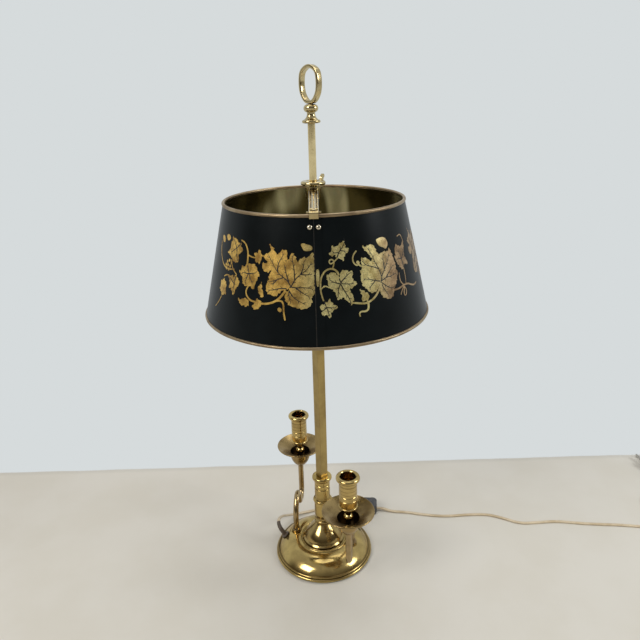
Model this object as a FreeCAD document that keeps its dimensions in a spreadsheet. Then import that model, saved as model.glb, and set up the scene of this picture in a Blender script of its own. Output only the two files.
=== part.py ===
import FreeCAD
import Part
import Sketcher
import math
import os

# Bouillotte table lamp. Millimetres and degrees. The origin is the middle of the foot on the table,
# +Z is up, -Y is the front, where the shade's seam is, and +X is to the right of someone in front.

DRIVING_SIZES = {
    # felt, weight and the clamped stack under the base
    "felt_radius": 74.0,
    "felt_thickness": 1.2,
    "weight_radius": 60.0,
    "weight_thickness": 10.0,
    "weight_boss_radius": 16.0,
    "recess_radius": 15.0,
    "recess_depth": 7.0,
    "lead_slot_width": 8.0,
    "lead_slot_depth": 5.0,
    "washer_radius": 12.5,
    "washer_thickness": 1.5,
    "nut_across_corners": 18.5,
    "nut_thickness": 4.0,
    # spun base
    "base_radius": 76.2,
    "base_wall": 1.8,
    "rim_bead": 2.4,
    "step_bead": 1.5,
    "step_inset": 3.0,
    "dome_foot_inset": 5.6,
    "dome_height": 24.0,
    "dome_bulge": 4.6,
    "inner_ring_radius": 37.3,
    "inner_bead": 1.7,
    "inner_fillet_bead": 1.0,
    # column, post and rod
    "foot_flare_radius": 32.0,
    "foot_flare_height": 46.0,
    "foot_edge_height": 3.0,
    "foot_waist_radius": 13.0,
    "foot_wall": 3.0,
    "column_height": 69.8,
    "column_radius": 11.8,
    "column_bead": 2.4,
    "column_bead_height": 26.0,
    "column_lip_overhang": 3.4,
    "groove_depth": 0.5,
    "groove_spacing": 7.0,
    "lip_thickness": 6.4,
    "post_width": 12.7,
    "post_wall": 1.1,
    "post_corner": 0.5,
    "post_turn": 38.0,
    "post_seat_depth": 12.0,
    "post_height": 261.0,
    "post_cap_radius": 11.0,
    "post_cap_height": 8.0,
    "pipe_radius": 4.85,
    "pipe_bore": 3.2,
    "rod_radius": 4.75,
    "knop_base_height": 655.0,
    # light cluster, lamp holders and bulbs
    "hub_radius": 15.0,
    "hub_height": 22.0,
    "hub_socket_depth": 9.0,
    "cluster_arm_radius": 4.5,
    "holder_offset": 42.0,
    "holder_radius": 11.0,
    "holder_height": 32.0,
    "holder_cup_wall": 1.5,
    "holder_cup_depth": 8.0,
    "screw_shell_radius": 5.9,
    "screw_shell_height": 17.0,
    "bulb_radius": 17.5,
    "bulb_length": 76.0,
    # shade
    "shade_bottom_height": 417.3,
    "shade_height": 145.3,
    "shade_bottom_radius": 149.4,
    "shade_top_radius": 115.9,
    "shade_wall": 0.8,
    "seam_width": 10.0,
    "seam_lift": 0.6,
    "rim_wire_radius": 2.0,
    # bridge, thumbscrew and rivets
    "bridge_hub_radius": 10.4,
    "bridge_hub_height": 17.0,
    "bridge_flange_radius": 16.0,
    "bridge_flange_thickness": 5.4,
    "bridge_rise": 17.5,
    "strap_width": 11.6,
    "strap_thickness": 3.2,
    "strap_reed_radius": 2.4,
    "tab_thickness": 1.6,
    "tab_width": 17.0,
    "tab_height": 19.0,
    "rim_clearance": 0.2,
    "tab_clearance": 0.2,
    "hook_thickness": 2.2,
    "hook_drop": 5.5,
    "rivet_radius": 1.5,
    "rivet_head_radius": 3.0,
    "rivet_head_height": 1.8,
    "rivet_spacing": 9.8,
    "rivet_drop": 12.0,
    "rivet_tail_thickness": 0.9,
    "thumbscrew_radius": 1.6,
    "thumbscrew_turn": 60.0,
    "wing_inner_radius": 19.0,
    "wing_outer_radius": 28.0,
    "wing_height": 17.0,
    "wing_thickness": 2.6,
    "sliding_clearance": 0.08,
    "seat_clearance": 0.05,
    # knop and carrying ring
    "knop_disc_radius": 11.5,
    "knop_disc_thickness": 4.0,
    "knop_neck_radius": 5.2,
    "knop_neck_height": 12.6,
    "knop_ball_radius": 9.1,
    "knop_ball_height": 9.4,
    "ring_height": 45.0,
    "ring_width": 33.0,
    "ring_band_width": 7.0,
    "ring_thickness": 3.2,
    "ring_turn": -45.0,
    "ring_stud_radius": 2.4,
    "ring_stud_length": 6.0,
    # candle arms
    "arm_foot_reach": 47.1,
    "arm_foot_turn": -20.5,
    "arm_turn": -96.9,
    "arm_rod_radius": 4.4,
    "arm_riser": 15.0,
    "arm_shoulder_radius": 36.0,
    "arm_shoulder_turn": 55.0,
    "arm_crest_radius": 13.2,
    "arm_crest_turn": 110.0,
    "arm_slope": 11.0,
    "arm_trough_radius": 16.0,
    "arm_foot_radius": 7.0,
    "arm_foot_height": 5.0,
    "arm_stud_radius": 3.0,
    "arm_stud_clearance": 0.08,
    "arm_nut_across_corners": 11.5,
    "arm_nut_thickness": 5.0,
    "foot_pad_radius": 8.2,
    "foot_pad_rise": 0.6,
    "foot_gap": 0.3,
    # drip bells and candle sockets
    "bell_rim_height": 142.0,
    "bell_rim_radius": 37.2,
    "bell_wall": 1.3,
    "bell_lip": 1.1,
    "bell_cup_radius": 17.4,
    "bell_flare_depth": 13.0,
    "bell_cup_depth": 37.0,
    "bell_foot_radius": 6.2,
    "socket_rise": 57.5,
    "candle_hole_radius": 11.0,
    "candle_hole_depth": 30.0,
    "socket_body_radius": 12.6,
    "socket_lip_overhang": 4.2,
    "socket_foot_bead": 1.5,
    "socket_foot_rise": 7.0,
    "stem_radius": 4.0,
    "stem_ball_radius": 7.0,
    "stem_ball_drop": 11.0,
    "tenon_radius": 3.0,
    "tenon_length": 7.5,
    # lead, switch and plug
    "cord_radius": 2.7,
    "grommet_radius": 5.2,
    "grommet_flange_radius": 6.6,
    "grommet_stand": 3.0,
    "exit_turn": 168.0,
    "exit_reach": 63.0,
    "coil_outer_radius": 48.0,
    "coil_pitch": 6.0,
    "switch_length": 55.0,
    "switch_width": 26.0,
    "switch_thickness": 18.0,
    "switch_wheel_radius": 9.5,
    "switch_wheel_thickness": 4.5,
    "switch_wheel_overhang": 3.0,
    "switch_axle_radius": 2.0,
    "switch_axle_length": 12.0,
    "lead_mouth_height": 5.2,
    "lead_mouth_depth": 5.0,
    "plug_width": 25.0,
    "plug_thickness": 17.0,
    "plug_length": 33.0,
    "blade_width": 6.35,
    "blade_thickness": 1.5,
    "blade_length": 17.5,
    "blade_spacing": 12.7,
}

VECTOR = FreeCAD.Vector
UP = VECTOR(0, 0, 1)

document = FreeCAD.newDocument("BouillotteLamp")
sheet = document.addObject("Spreadsheet::Sheet", "Sizes")
nodes = []


class Size:
    # A length or angle that knows its value and the words that tie it to the sheet.
    def __init__(self, value, words):
        self.value = value
        self.words = words

    def joined(self, other, sign, value):
        return Size(value, f"({self.words} {sign} {words_of(other)})")

    def __add__(self, other):
        return self.joined(other, "+", self.value + value_of(other))

    def __sub__(self, other):
        return self.joined(other, "-", self.value - value_of(other))

    def __mul__(self, other):
        return self.joined(other, "*", self.value * value_of(other))

    def __truediv__(self, other):
        return self.joined(other, "/", self.value / value_of(other))

    def __neg__(self):
        return Size(-self.value, f"(0 - {self.words})")

    def cosine(self):
        return Size(math.cos(math.radians(self.value)), f"cos({self.words})")

    def sine(self):
        return Size(math.sin(math.radians(self.value)), f"sin({self.words})")

    def root(self):
        return Size(math.sqrt(self.value), f"sqrt({self.words})")


def value_of(size):
    return size.value if isinstance(size, Size) else float(size)


def words_of(size):
    return size.words if isinstance(size, Size) else f"{float(size):.6f}"


def fill_sheet():
    for row, (name, value) in enumerate(DRIVING_SIZES.items(), start=1):
        sheet.set(f"A{row}", name)
        sheet.set(f"B{row}", str(value))
        sheet.setAlias(f"B{row}", name)
    document.recompute()


def size(name):
    return Size(float(sheet.get(name)), f"Sizes.{name}")


def bind(thing, path, wanted):
    # Sets a property or constraint from a size and ties it to the sheet.
    if isinstance(wanted, Size):
        thing.setExpression(path, wanted.words)


def keep(thing, label):
    thing.Label = label
    nodes.append(thing)
    return thing


def new_body(label):
    return keep(document.addObject("PartDesign::Body", label), label)


def origin_plane(body, role):
    return [f for f in body.Origin.OriginFeatures if f.Role == role][0]


def new_sketch(body, name, plane="XZ_Plane", lift=0, along=(0, 0), spin=0):
    sketch = body.newObject("Sketcher::SketchObject", name)
    sketch.AttachmentSupport = [(origin_plane(body, plane), "")]
    sketch.MapMode = "FlatFace"
    base = VECTOR(value_of(along[0]), value_of(along[1]), value_of(lift))
    sketch.AttachmentOffset = FreeCAD.Placement(base, FreeCAD.Rotation(UP, value_of(spin)))
    bind(sketch, "AttachmentOffset.Base.x", along[0])
    bind(sketch, "AttachmentOffset.Base.y", along[1])
    bind(sketch, "AttachmentOffset.Base.z", lift)
    bind(sketch, "AttachmentOffset.Rotation.Angle", spin)
    return sketch


def pin(sketch, shape, end, place):
    for kind, wanted in (("DistanceX", place[0]), ("DistanceY", place[1])):
        rule = Sketcher.Constraint(kind, -1, 1, shape, end, value_of(wanted))
        bind(sketch, f"Constraints[{sketch.addConstraint(rule)}]", wanted)


def flat(place):
    return VECTOR(value_of(place[0]), value_of(place[1]), 0)


def arc_through(start, middle, end):
    # An arc that runs anticlockwise, and whether it starts at the given start.
    a, b, c = flat(start), flat(middle), flat(end)
    circle = Part.Arc(a, b, c).toShape().Curve
    centre = VECTOR(circle.Center.x, circle.Center.y, 0)
    forward = (b - a).cross(c - b).z > 0
    first, last = (a, c) if forward else (c, a)
    angles = [math.atan2(p.y - centre.y, p.x - centre.x) for p in (first, last)]
    if angles[1] <= angles[0]:
        angles[1] += 2 * math.pi
    ring = Part.Circle(centre, UP, circle.Radius)
    return Part.ArcOfCircle(ring, angles[0], angles[1]), forward


def draw(sketch, corners):
    # A closed outline. A corner is a pair of sizes. A corner with four is an arc's middle and its end.
    ends = [corner[-2:] for corner in corners]
    drawn = []
    for number, corner in enumerate(corners):
        start = ends[number - 1]
        if len(corner) == 2:
            shape = sketch.addGeometry(Part.LineSegment(flat(start), flat(corner)))
            drawn.append((shape, 1, 2))
            continue
        arc, forward = arc_through(start, corner[:2], corner[2:])
        shape = sketch.addGeometry(arc)
        middle = sketch.addGeometry(Part.Point(flat(corner[:2])), True)
        pin(sketch, middle, 1, corner[:2])
        sketch.addConstraint(Sketcher.Constraint("PointOnObject", middle, 1, shape))
        drawn.append((shape, 1, 2) if forward else (shape, 2, 1))
    for number, (shape, first, last) in enumerate(drawn):
        before = drawn[number - 1]
        sketch.addConstraint(Sketcher.Constraint("Coincident", before[0], before[2], shape, first))
        pin(sketch, shape, last, ends[number])


def draw_circle(sketch, radius, centre=(0, 0)):
    ring = Part.Circle(flat(centre), UP, value_of(radius))
    shape = sketch.addGeometry(ring)
    pin(sketch, shape, 3, centre)
    rule = Sketcher.Constraint("Radius", shape, value_of(radius))
    bind(sketch, f"Constraints[{sketch.addConstraint(rule)}]", radius)


def draw_box(sketch, half_x, half_y):
    draw(sketch, [(-half_x, -half_y), (half_x, -half_y), (half_x, half_y), (-half_x, half_y)])


def revolve(body, sketch, name="turning", angle=360):
    feature = body.newObject("PartDesign::Revolution", name)
    feature.Profile = sketch
    feature.ReferenceAxis = (sketch, ["V_Axis"])
    feature.Angle = value_of(angle)
    bind(feature, "Angle", angle)
    return feature


def turned(label, corners):
    # A piece made on a lathe: its outline is radius and height, right of the axis.
    body = new_body(label)
    sketch = new_sketch(body, "profile")
    draw(sketch, corners)
    revolve(body, sketch)
    return body


def extrude(body, kind, sketch, name, length, symmetric=False, reverse=False):
    feature = body.newObject(f"PartDesign::{kind}", name)
    feature.Profile = sketch
    feature.Length = value_of(length)
    feature.Midplane = symmetric
    feature.Reversed = reverse
    bind(feature, "Length", length)
    return feature


def bead(radius, height, bulge):
    # A half round ring on a turned outline, drawn upwards.
    return [(radius, height - bulge), (radius + bulge, height, radius, height + bulge)]


def groove(radius, height, depth):
    # A fine V groove on a turned outline, drawn upwards.
    return [(radius, height - depth), (radius - depth, height), (radius, height + depth)]


def place(thing, base, turn=0):
    spin = FreeCAD.Rotation(UP, value_of(turn))
    thing.Placement = FreeCAD.Placement(VECTOR(*[value_of(part) for part in base]), spin)
    return thing


# Heights that several pieces share


def felt_top():
    return size("felt_thickness")


def dome_top():
    return felt_top() + size("dome_height")


def column_base():
    return dome_top() + size("foot_flare_height")


def column_top():
    return column_base() + size("column_height")


def post_bottom():
    return column_top() - size("post_seat_depth")


def post_top():
    return post_bottom() + size("post_height")


def hub_bottom():
    return post_top() + size("post_cap_height") - size("holder_cup_wall")


def hub_top():
    return hub_bottom() + size("hub_height")


def shade_top():
    return size("shade_bottom_height") + size("shade_height")


def bridge_top():
    return shade_top() + size("bridge_rise")


def weight_ceiling():
    return dome_top() - size("base_wall")


def recess_ceiling():
    return felt_top() + size("recess_depth")


# Base


def make_felt():
    edge = size("felt_radius")
    turned("base_felt", [(0, 0), (edge, 0), (edge, felt_top()), (0, felt_top())])


def make_weight():
    low = felt_top()
    top = low + size("weight_thickness")
    hole = size("pipe_radius") + size("seat_clearance")
    recess = size("recess_radius")
    edge = size("weight_radius")
    boss = size("weight_boss_radius")
    corners = [
        (recess, low),
        (edge, low),
        (edge, top - 2),
        (edge - 2, top),
        (boss + 3, top),
        (boss, top + 3),
        (boss, weight_ceiling()),
        (hole, weight_ceiling()),
        (hole, recess_ceiling()),
        (recess, recess_ceiling()),
    ]
    body = turned("base_weight", corners)
    slot = new_sketch(body, "lead_slot_outline", "XY_Plane", lift=low, spin=size("exit_turn"))
    half = size("lead_slot_width") / 2
    far = edge + 5
    draw(slot, [(0, -half), (far, -half), (far, half), (0, half)])
    extrude(body, "Pocket", slot, "lead_slot", size("lead_slot_depth"), reverse=True)


def dome_arc(offset=0):
    # Start, middle and end of the domed ring, from its steep foot inwards, moved in by offset.
    foot = (size("base_radius") - size("dome_foot_inset"), felt_top() + 7.8)
    crest = (size("inner_ring_radius") + size("inner_bead") + 1.0, dome_top() - 0.5)
    across = value_of(foot[0]) - value_of(crest[0])
    rise = value_of(crest[1]) - value_of(foot[1])
    span = math.hypot(across, rise)
    middle = (
        (foot[0] + crest[0]) / 2 + size("dome_bulge") * (rise / span),
        (foot[1] + crest[1]) / 2 + size("dome_bulge") * (across / span),
    )
    if offset == 0:
        return foot, middle, crest
    return (
        (foot[0] - offset, foot[1] - offset * 0.4),
        (middle[0] - offset * (rise / span), middle[1] - offset * (across / span)),
        (crest[0] - offset * 0.1, crest[1] - offset),
    )


def dome_point(reach):
    # Height and outward slope normal of the domed ring at a distance from the axis.
    foot, middle, crest = [flat(point) for point in dome_arc()]
    circle = Part.Arc(foot, middle, crest).toShape().Curve
    centre = circle.Center
    across = value_of(reach) - centre.x
    height = centre.y + math.sqrt(circle.Radius**2 - across**2)
    normal = VECTOR(across, 0, height - centre.y).normalize()
    return height, normal


def foot_places():
    turn = size("arm_foot_turn")
    reach = size("arm_foot_reach")
    return [
        ("right", 0, reach * turn.cosine(), reach * turn.sine()),
        ("left", 180, -reach * turn.cosine(), -reach * turn.sine()),
    ]


def pad_top():
    return dome_top() + size("foot_pad_rise")


def pad_underside():
    return dome_top() - size("base_wall") - 2.0


def make_base_shell():
    low = felt_top()
    wall = size("base_wall")
    edge = size("base_radius") - size("rim_bead")
    step = edge - size("step_inset") + size("step_bead")
    step_low = low + size("rim_bead") * 2
    foot, middle, crest = dome_arc()
    inner_foot, inner_middle, inner_crest = dome_arc(wall)
    ring = size("inner_ring_radius")
    thick = size("inner_bead")
    fine = size("inner_fillet_bead")
    hole = size("pipe_radius") + size("seat_clearance")
    corners = [
        (edge, low),
        (edge + size("rim_bead"), low + size("rim_bead"), edge, step_low),
        (step, step_low),
        (step + size("step_bead"), step_low + size("step_bead"), step, step_low + size("step_bead") * 2),
        foot,
        middle + crest,
        (ring + thick, dome_top()),
        (ring, dome_top() + thick, ring - thick, dome_top()),
        (ring - thick - fine, dome_top() + fine, ring - thick - fine * 2, dome_top()),
        (hole, dome_top()),
        (hole, weight_ceiling()),
        (inner_crest[0], weight_ceiling()),
        inner_crest,
        inner_middle + inner_foot,
        (inner_foot[0] + 2.0, low + 5.5),
        (edge - 1.2, low + 4.6),
        (edge - 1.2, low),
    ]
    body = turned("base_shell", corners)
    for side, _, across, along in foot_places():
        pad = new_sketch(body, f"{side}_pad_outline", "XY_Plane", lift=pad_underside())
        draw_circle(pad, size("foot_pad_radius"), (across, along))
        extrude(body, "Pad", pad, f"{side}_pad", pad_top() - pad_underside())
    for side, _, across, along in foot_places():
        stud = new_sketch(body, f"{side}_stud_hole_outline", "XY_Plane", lift=pad_top())
        draw_circle(stud, size("arm_stud_radius") + size("arm_stud_clearance"), (across, along))
        extrude(body, "Pocket", stud, f"{side}_stud_hole", 12)
    height, normal = dome_point(size("exit_reach"))
    mouth = body.newObject("Sketcher::SketchObject", "lead_hole_outline")
    mouth.AttachmentSupport = [(origin_plane(body, "XY_Plane"), "")]
    mouth.MapMode = "FlatFace"
    mouth.AttachmentOffset = exit_frame(4.0)
    draw_circle(mouth, size("grommet_radius") + size("seat_clearance"))
    extrude(body, "Pocket", mouth, "lead_hole", 12)


def exit_frame(lift):
    # The place on the domed ring where the lead comes out, its Z square to the surface.
    height, normal = dome_point(size("exit_reach"))
    turn = FreeCAD.Rotation(UP, value_of(size("exit_turn")))
    base = VECTOR(value_of(size("exit_reach")), 0, height) + normal * lift
    tilt = FreeCAD.Rotation(UP, normal)
    return FreeCAD.Placement(turn.multVec(base), turn.multiply(tilt))


def make_washer():
    hole = size("pipe_radius") + size("seat_clearance")
    edge = size("washer_radius")
    top = recess_ceiling()
    low = top - size("washer_thickness")
    turned("pipe_washer", [(hole, low), (edge, low), (edge, top), (hole, top)])


def make_hex_nut(label, across_corners, thickness, hole, base):
    prism = document.addObject("Part::Prism", f"{label}_blank")
    prism.Polygon = 6
    prism.Circumradius = value_of(across_corners / 2)
    prism.Height = value_of(thickness)
    bind(prism, "Circumradius", across_corners / 2)
    bind(prism, "Height", thickness)
    bore = document.addObject("Part::Cylinder", f"{label}_bore")
    bore.Radius = value_of(hole)
    bore.Height = value_of(thickness)
    bind(bore, "Radius", hole)
    bind(bore, "Height", thickness)
    nut = document.addObject("Part::Cut", label)
    nut.Base = prism
    nut.Tool = bore
    place(nut, base)
    return keep(nut, label)


def make_pipe_nut():
    low = recess_ceiling() - size("washer_thickness") - size("nut_thickness")
    hole = size("pipe_radius") + size("seat_clearance")
    make_hex_nut("pipe_nut", size("nut_across_corners"), size("nut_thickness"), hole, (0, 0, low))


# Stem


def make_column_foot():
    low = dome_top()
    top = column_base()
    edge = size("foot_flare_radius")
    waist = size("foot_waist_radius")
    wall = size("foot_wall")
    lift = size("foot_edge_height")
    rise = size("foot_flare_height")
    hole = size("pipe_radius") + size("seat_clearance")
    corners = [
        (edge, low),
        (edge, low + lift),
        (edge - 4.0, low + lift + 3.6, edge - 9.0, low + lift + 6.0),
        (edge * 0.55 + waist * 0.06, low + rise * 0.42, waist, top),
        (hole, top),
        (hole, top - 8),
        (waist - wall, top - 8),
        (edge * 0.5 + waist * 0.06 - wall, low + rise * 0.33, edge - 9.0 - wall, low + lift),
        (edge - wall, low),
    ]
    turned("column_foot", corners)


def make_column():
    low = column_base()
    top = column_top()
    body_radius = size("column_radius")
    lower = size("foot_waist_radius")
    hole = size("pipe_radius") + size("seat_clearance")
    depth = size("groove_depth")
    bead_height = low + size("column_bead_height")
    bead_rise = size("column_bead")
    lip_low = top - size("lip_thickness")
    over = size("column_lip_overhang")
    first_groove = bead_height + 22
    corners = [
        (lower, low),
        (lower, bead_height - bead_rise - 3),
    ]
    corners += bead(lower - 0.6, bead_height, bead_rise)
    corners += [(body_radius, bead_height + bead_rise + 1)]
    corners += groove(body_radius, first_groove, depth)
    corners += groove(body_radius, first_groove + size("groove_spacing"), depth)
    corners += [
        (body_radius, lip_low - 2.0),
        (body_radius + 0.6, lip_low - 0.6, body_radius + over - 1.8, lip_low),
        (body_radius + over, lip_low + size("lip_thickness") * 0.45, body_radius + over - 2.2, top),
        (hole, top),
        (hole, low),
    ]
    body = turned("column", corners)
    seat = new_sketch(body, "post_seat_outline", "XY_Plane", lift=top, spin=size("post_turn"))
    half = size("post_width") / 2 + size("seat_clearance")
    draw_box(seat, half, half)
    extrude(body, "Pocket", seat, "post_seat", size("post_seat_depth"))


def make_centre_pipe():
    low = felt_top() + 1.0
    top = hub_bottom() + size("hub_socket_depth")
    outer = size("pipe_radius")
    bore = size("pipe_bore")
    turned("centre_pipe", [(bore, low), (outer, low), (outer, top), (bore, top)])


def make_post():
    body = new_body("post")
    outline = new_sketch(body, "section", "XY_Plane")
    half = size("post_width") / 2
    draw_box(outline, half, half)
    inner = half - size("post_wall")
    draw_box(outline, inner, inner)
    tube = extrude(body, "Pad", outline, "tube", size("post_height"))
    document.recompute()
    corner = value_of(half)
    edges = []
    for number, edge in enumerate(tube.Shape.Edges, start=1):
        points = [vertex.Point for vertex in edge.Vertexes]
        upright = abs(points[0].x - points[-1].x) < 0.01 and abs(points[0].y - points[-1].y) < 0.01
        if upright and abs(abs(points[0].x) - corner) < 0.01:
            edges.append(f"Edge{number}")
    softened = body.newObject("PartDesign::Fillet", "soft_corners")
    softened.Base = (tube, edges)
    softened.Radius = value_of(size("post_corner"))
    bind(softened, "Radius", size("post_corner"))
    place(body, (0, 0, post_bottom()), size("post_turn"))


def make_post_cap():
    seat = post_top() - 5.0
    top = hub_bottom()
    edge = size("post_cap_radius")
    hole = size("pipe_radius") + size("seat_clearance")
    corners = [
        (edge - 1.2, seat),
        (edge, seat + 1.6, edge - 1.0, seat + 3.2),
        (edge - 1.0, top - 3.4),
        (edge + 0.8, top - 1.8, edge, top),
        (hole, top),
        (hole, seat),
    ]
    body = turned("post_cap", corners)
    outline = new_sketch(body, "post_seat_outline", "XY_Plane", lift=seat, spin=size("post_turn"))
    half = size("post_width") / 2 + size("seat_clearance")
    draw_box(outline, half, half)
    extrude(body, "Pocket", outline, "post_seat", 5.0, reverse=True)


def holder_base():
    return hub_bottom() + size("hub_height") / 2 - size("cluster_arm_radius") + 3.0


def make_light_cluster():
    low = hub_bottom()
    top = hub_top()
    edge = size("hub_radius")
    pipe = size("pipe_radius") + size("seat_clearance")
    rod = size("rod_radius") + size("seat_clearance")
    depth = size("hub_socket_depth")
    corners = [
        (pipe, low),
        (edge - 3, low),
        (edge - 0.4, low + 2.6, edge, low + 6),
        (edge, top - 6),
        (edge - 0.4, top - 2.6, edge - 3, top),
        (rod, top),
        (rod, top - depth),
        (pipe, top - depth),
    ]
    body = turned("light_cluster", corners)
    offset = size("holder_offset")
    wall = size("holder_cup_wall")
    cup_radius = size("holder_radius") + size("seat_clearance") + wall
    for side, sign in (("right", 1), ("left", -1)):
        arm = new_sketch(body, f"{side}_arm_outline", "YZ_Plane", lift=edge * (0.8 * sign))
        draw_circle(arm, size("cluster_arm_radius"), (0, low + size("hub_height") / 2))
        reach = offset - edge * 0.8
        extrude(body, "Pad", arm, f"{side}_arm", reach, reverse=sign < 0)
        cup = new_sketch(body, f"{side}_cup_outline", "XY_Plane", lift=holder_base() - wall)
        draw_circle(cup, cup_radius, (offset * sign, 0))
        extrude(body, "Pad", cup, f"{side}_cup", wall + size("holder_cup_depth"))
    for side, sign in (("right", 1), ("left", -1)):
        hollow = new_sketch(body, f"{side}_hollow_outline", "XY_Plane", lift=holder_base())
        draw_circle(hollow, size("holder_radius") + size("seat_clearance"), (offset * sign, 0))
        extrude(body, "Pocket", hollow, f"{side}_hollow", size("holder_cup_depth") + 4, reverse=True)


def make_lights():
    edge = size("holder_radius")
    high = size("holder_height")
    screw = size("screw_shell_radius")
    well = screw + size("seat_clearance")
    deep = size("screw_shell_height")
    widest = size("bulb_radius")
    length = size("bulb_length")
    for side, sign in (("right", 1), ("left", -1)):
        base = (size("holder_offset") * sign, 0, holder_base())
        holder = turned(
            f"{side}_lamp_holder",
            [
                (0, 0),
                (edge, 0),
                (edge, high - 2),
                (edge - 2, high),
                (well, high),
                (well, high - deep),
                (0, high - deep),
            ],
        )
        place(holder, base)
        shell = turned(
            f"{side}_bulb_base",
            [
                (0, high - deep),
                (screw - 3, high - deep),
                (screw, high - deep + 3),
                (screw, high + 1),
                (0, high + 1),
            ],
        )
        place(shell, base)
        glass_low = high + 1
        bulb = turned(
            f"{side}_bulb",
            [
                (0, glass_low),
                (screw, glass_low),
                (screw + 1.5, glass_low + 6, widest * 0.72, glass_low + length * 0.2),
                (widest, glass_low + length * 0.4, widest * 0.66, glass_low + length * 0.69),
                (widest * 0.36, glass_low + length * 0.87, widest * 0.14, glass_low + length),
                (0, glass_low + length),
            ],
        )
        place(bulb, base)


def make_upper_rod():
    low = hub_top() - size("hub_socket_depth")
    top = size("knop_base_height") + 8.0
    edge = size("rod_radius")
    turned("upper_rod", [(0, low), (edge, low), (edge, top), (0, top)])


def knop_top():
    return size("knop_base_height") + size("knop_neck_height") + size("knop_ball_height")


def make_knop():
    low = size("knop_base_height")
    disc = size("knop_disc_radius")
    thick = size("knop_disc_thickness")
    neck = size("knop_neck_radius")
    neck_height = low + size("knop_neck_height")
    ball = size("knop_ball_radius")
    ball_height = size("knop_ball_height")
    rod = size("rod_radius") + size("seat_clearance")
    stud = size("ring_stud_radius") + size("seat_clearance")
    stud_floor = knop_top() - size("ring_stud_length") - size("foot_gap")
    corners = [
        (disc - thick / 2, low),
        (disc, low + thick / 2, disc - thick / 2, low + thick),
        (neck + 1.6, low + thick + 2.2, neck, neck_height),
        (ball, neck_height + ball_height * 0.52, ball * 0.4, knop_top()),
        (stud, knop_top()),
        (stud, stud_floor),
        (0, stud_floor),
        (0, low + 8.0),
        (rod, low + 8.0),
        (rod, low),
    ]
    turned("knop", corners)


def make_carrying_ring():
    # A pointed loop bent from a flat bar, its two ends joined in a short stem on the knop.
    body = new_body("carrying_ring")
    outline = new_sketch(body, "loop_outline", "XZ_Plane")
    tall = size("ring_height")
    half = size("ring_width") / 2
    thick = size("ring_thickness")
    low = 0.4
    foot = 3.6
    inner = half - thick
    draw(
        outline,
        [
            (foot, low),
            (half * 0.88, tall * 0.25, half, tall * 0.53),
            (half * 0.76, tall * 0.82, 3.2, tall - 1.1),
            (0, tall, -3.2, tall - 1.1),
            (-half * 0.76, tall * 0.82, -half, tall * 0.53),
            (-half * 0.88, tall * 0.25, -foot, low),
        ],
    )
    peak = tall - thick
    draw(
        outline,
        [
            (inner * 0.86, tall * 0.31, inner, tall * 0.53),
            (inner * 0.76, tall * 0.77, 2.6, peak - 1.0),
            (0, peak, -2.6, peak - 1.0),
            (-inner * 0.76, tall * 0.77, -inner, tall * 0.53),
            (-inner * 0.86, tall * 0.31, -3.0, 8.6),
            (0, 7.2, 3.0, 8.6),
        ],
    )
    extrude(body, "Pad", outline, "band", size("ring_band_width"), symmetric=True)
    stud = new_sketch(body, "stud_outline", "XY_Plane", lift=2)
    draw_circle(stud, size("ring_stud_radius"))
    extrude(body, "Pad", stud, "stud", size("ring_stud_length") + 2, reverse=True)
    place(body, (0, 0, knop_top()), size("ring_turn"))


# Shade


def shade_slope():
    return (size("shade_bottom_radius") - size("shade_top_radius")) / size("shade_height")


def shade_radius_at(height):
    return size("shade_bottom_radius") - shade_slope() * (height - size("shade_bottom_height"))


def panel_corners(lift=0):
    low = size("shade_bottom_height")
    top = shade_top()
    wide = size("shade_bottom_radius") + lift
    narrow = size("shade_top_radius") + lift
    wall = size("shade_wall")
    return [(wide - wall, low), (wide, low), (narrow, top), (narrow - wall, top)]


def make_shade_panel():
    body = turned("shade_panel", panel_corners())
    seam = new_sketch(body, "seam_outline")
    wall = size("shade_wall")
    low = size("shade_bottom_height") + size("rim_wire_radius") + 1.0
    top = shade_top() - size("rim_wire_radius") - 1.0
    draw(
        seam,
        [
            (shade_radius_at(low) - wall / 2, low),
            (shade_radius_at(low) + size("seam_lift"), low),
            (shade_radius_at(top) + size("seam_lift"), top),
            (shade_radius_at(top) - wall / 2, top),
        ],
    )
    spread = size("seam_width") / size("shade_bottom_radius") * (180 / math.pi)
    revolve(body, seam, "seam", spread)
    cut_rivet_holes(body, -90)
    place(body, (0, 0, 0), -90)


def make_shade_rim(label, height, inward):
    # A rolled wire that holds the sheet's edge in a slot.
    wire = size("rim_wire_radius")
    slope = shade_slope()
    centre = shade_radius_at(height) - size("shade_wall") / 2
    near = size("shade_wall") / 2 + size("seat_clearance") / 2
    mouth = (wire * wire - near * near).root() * inward
    turned(
        label,
        [
            (centre - near, height),
            (centre - near - slope * mouth, height + mouth),
            (centre - wire, height, centre, height - wire * inward),
            (centre + wire, height, centre + near - slope * mouth, height + mouth),
            (centre + near, height),
        ],
    )


def make_shade_rims():
    make_shade_rim("shade_top_rim", shade_top(), -1)
    make_shade_rim("shade_bottom_rim", size("shade_bottom_height"), 1)


# Bridge


def strap_end():
    # Where the straps meet the inside of the shade's top rim.
    return size("shade_top_radius") - size("shade_wall") - size("rim_wire_radius")


def strap_low_at_hub():
    return bridge_top() - size("strap_thickness") - 3.0


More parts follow.
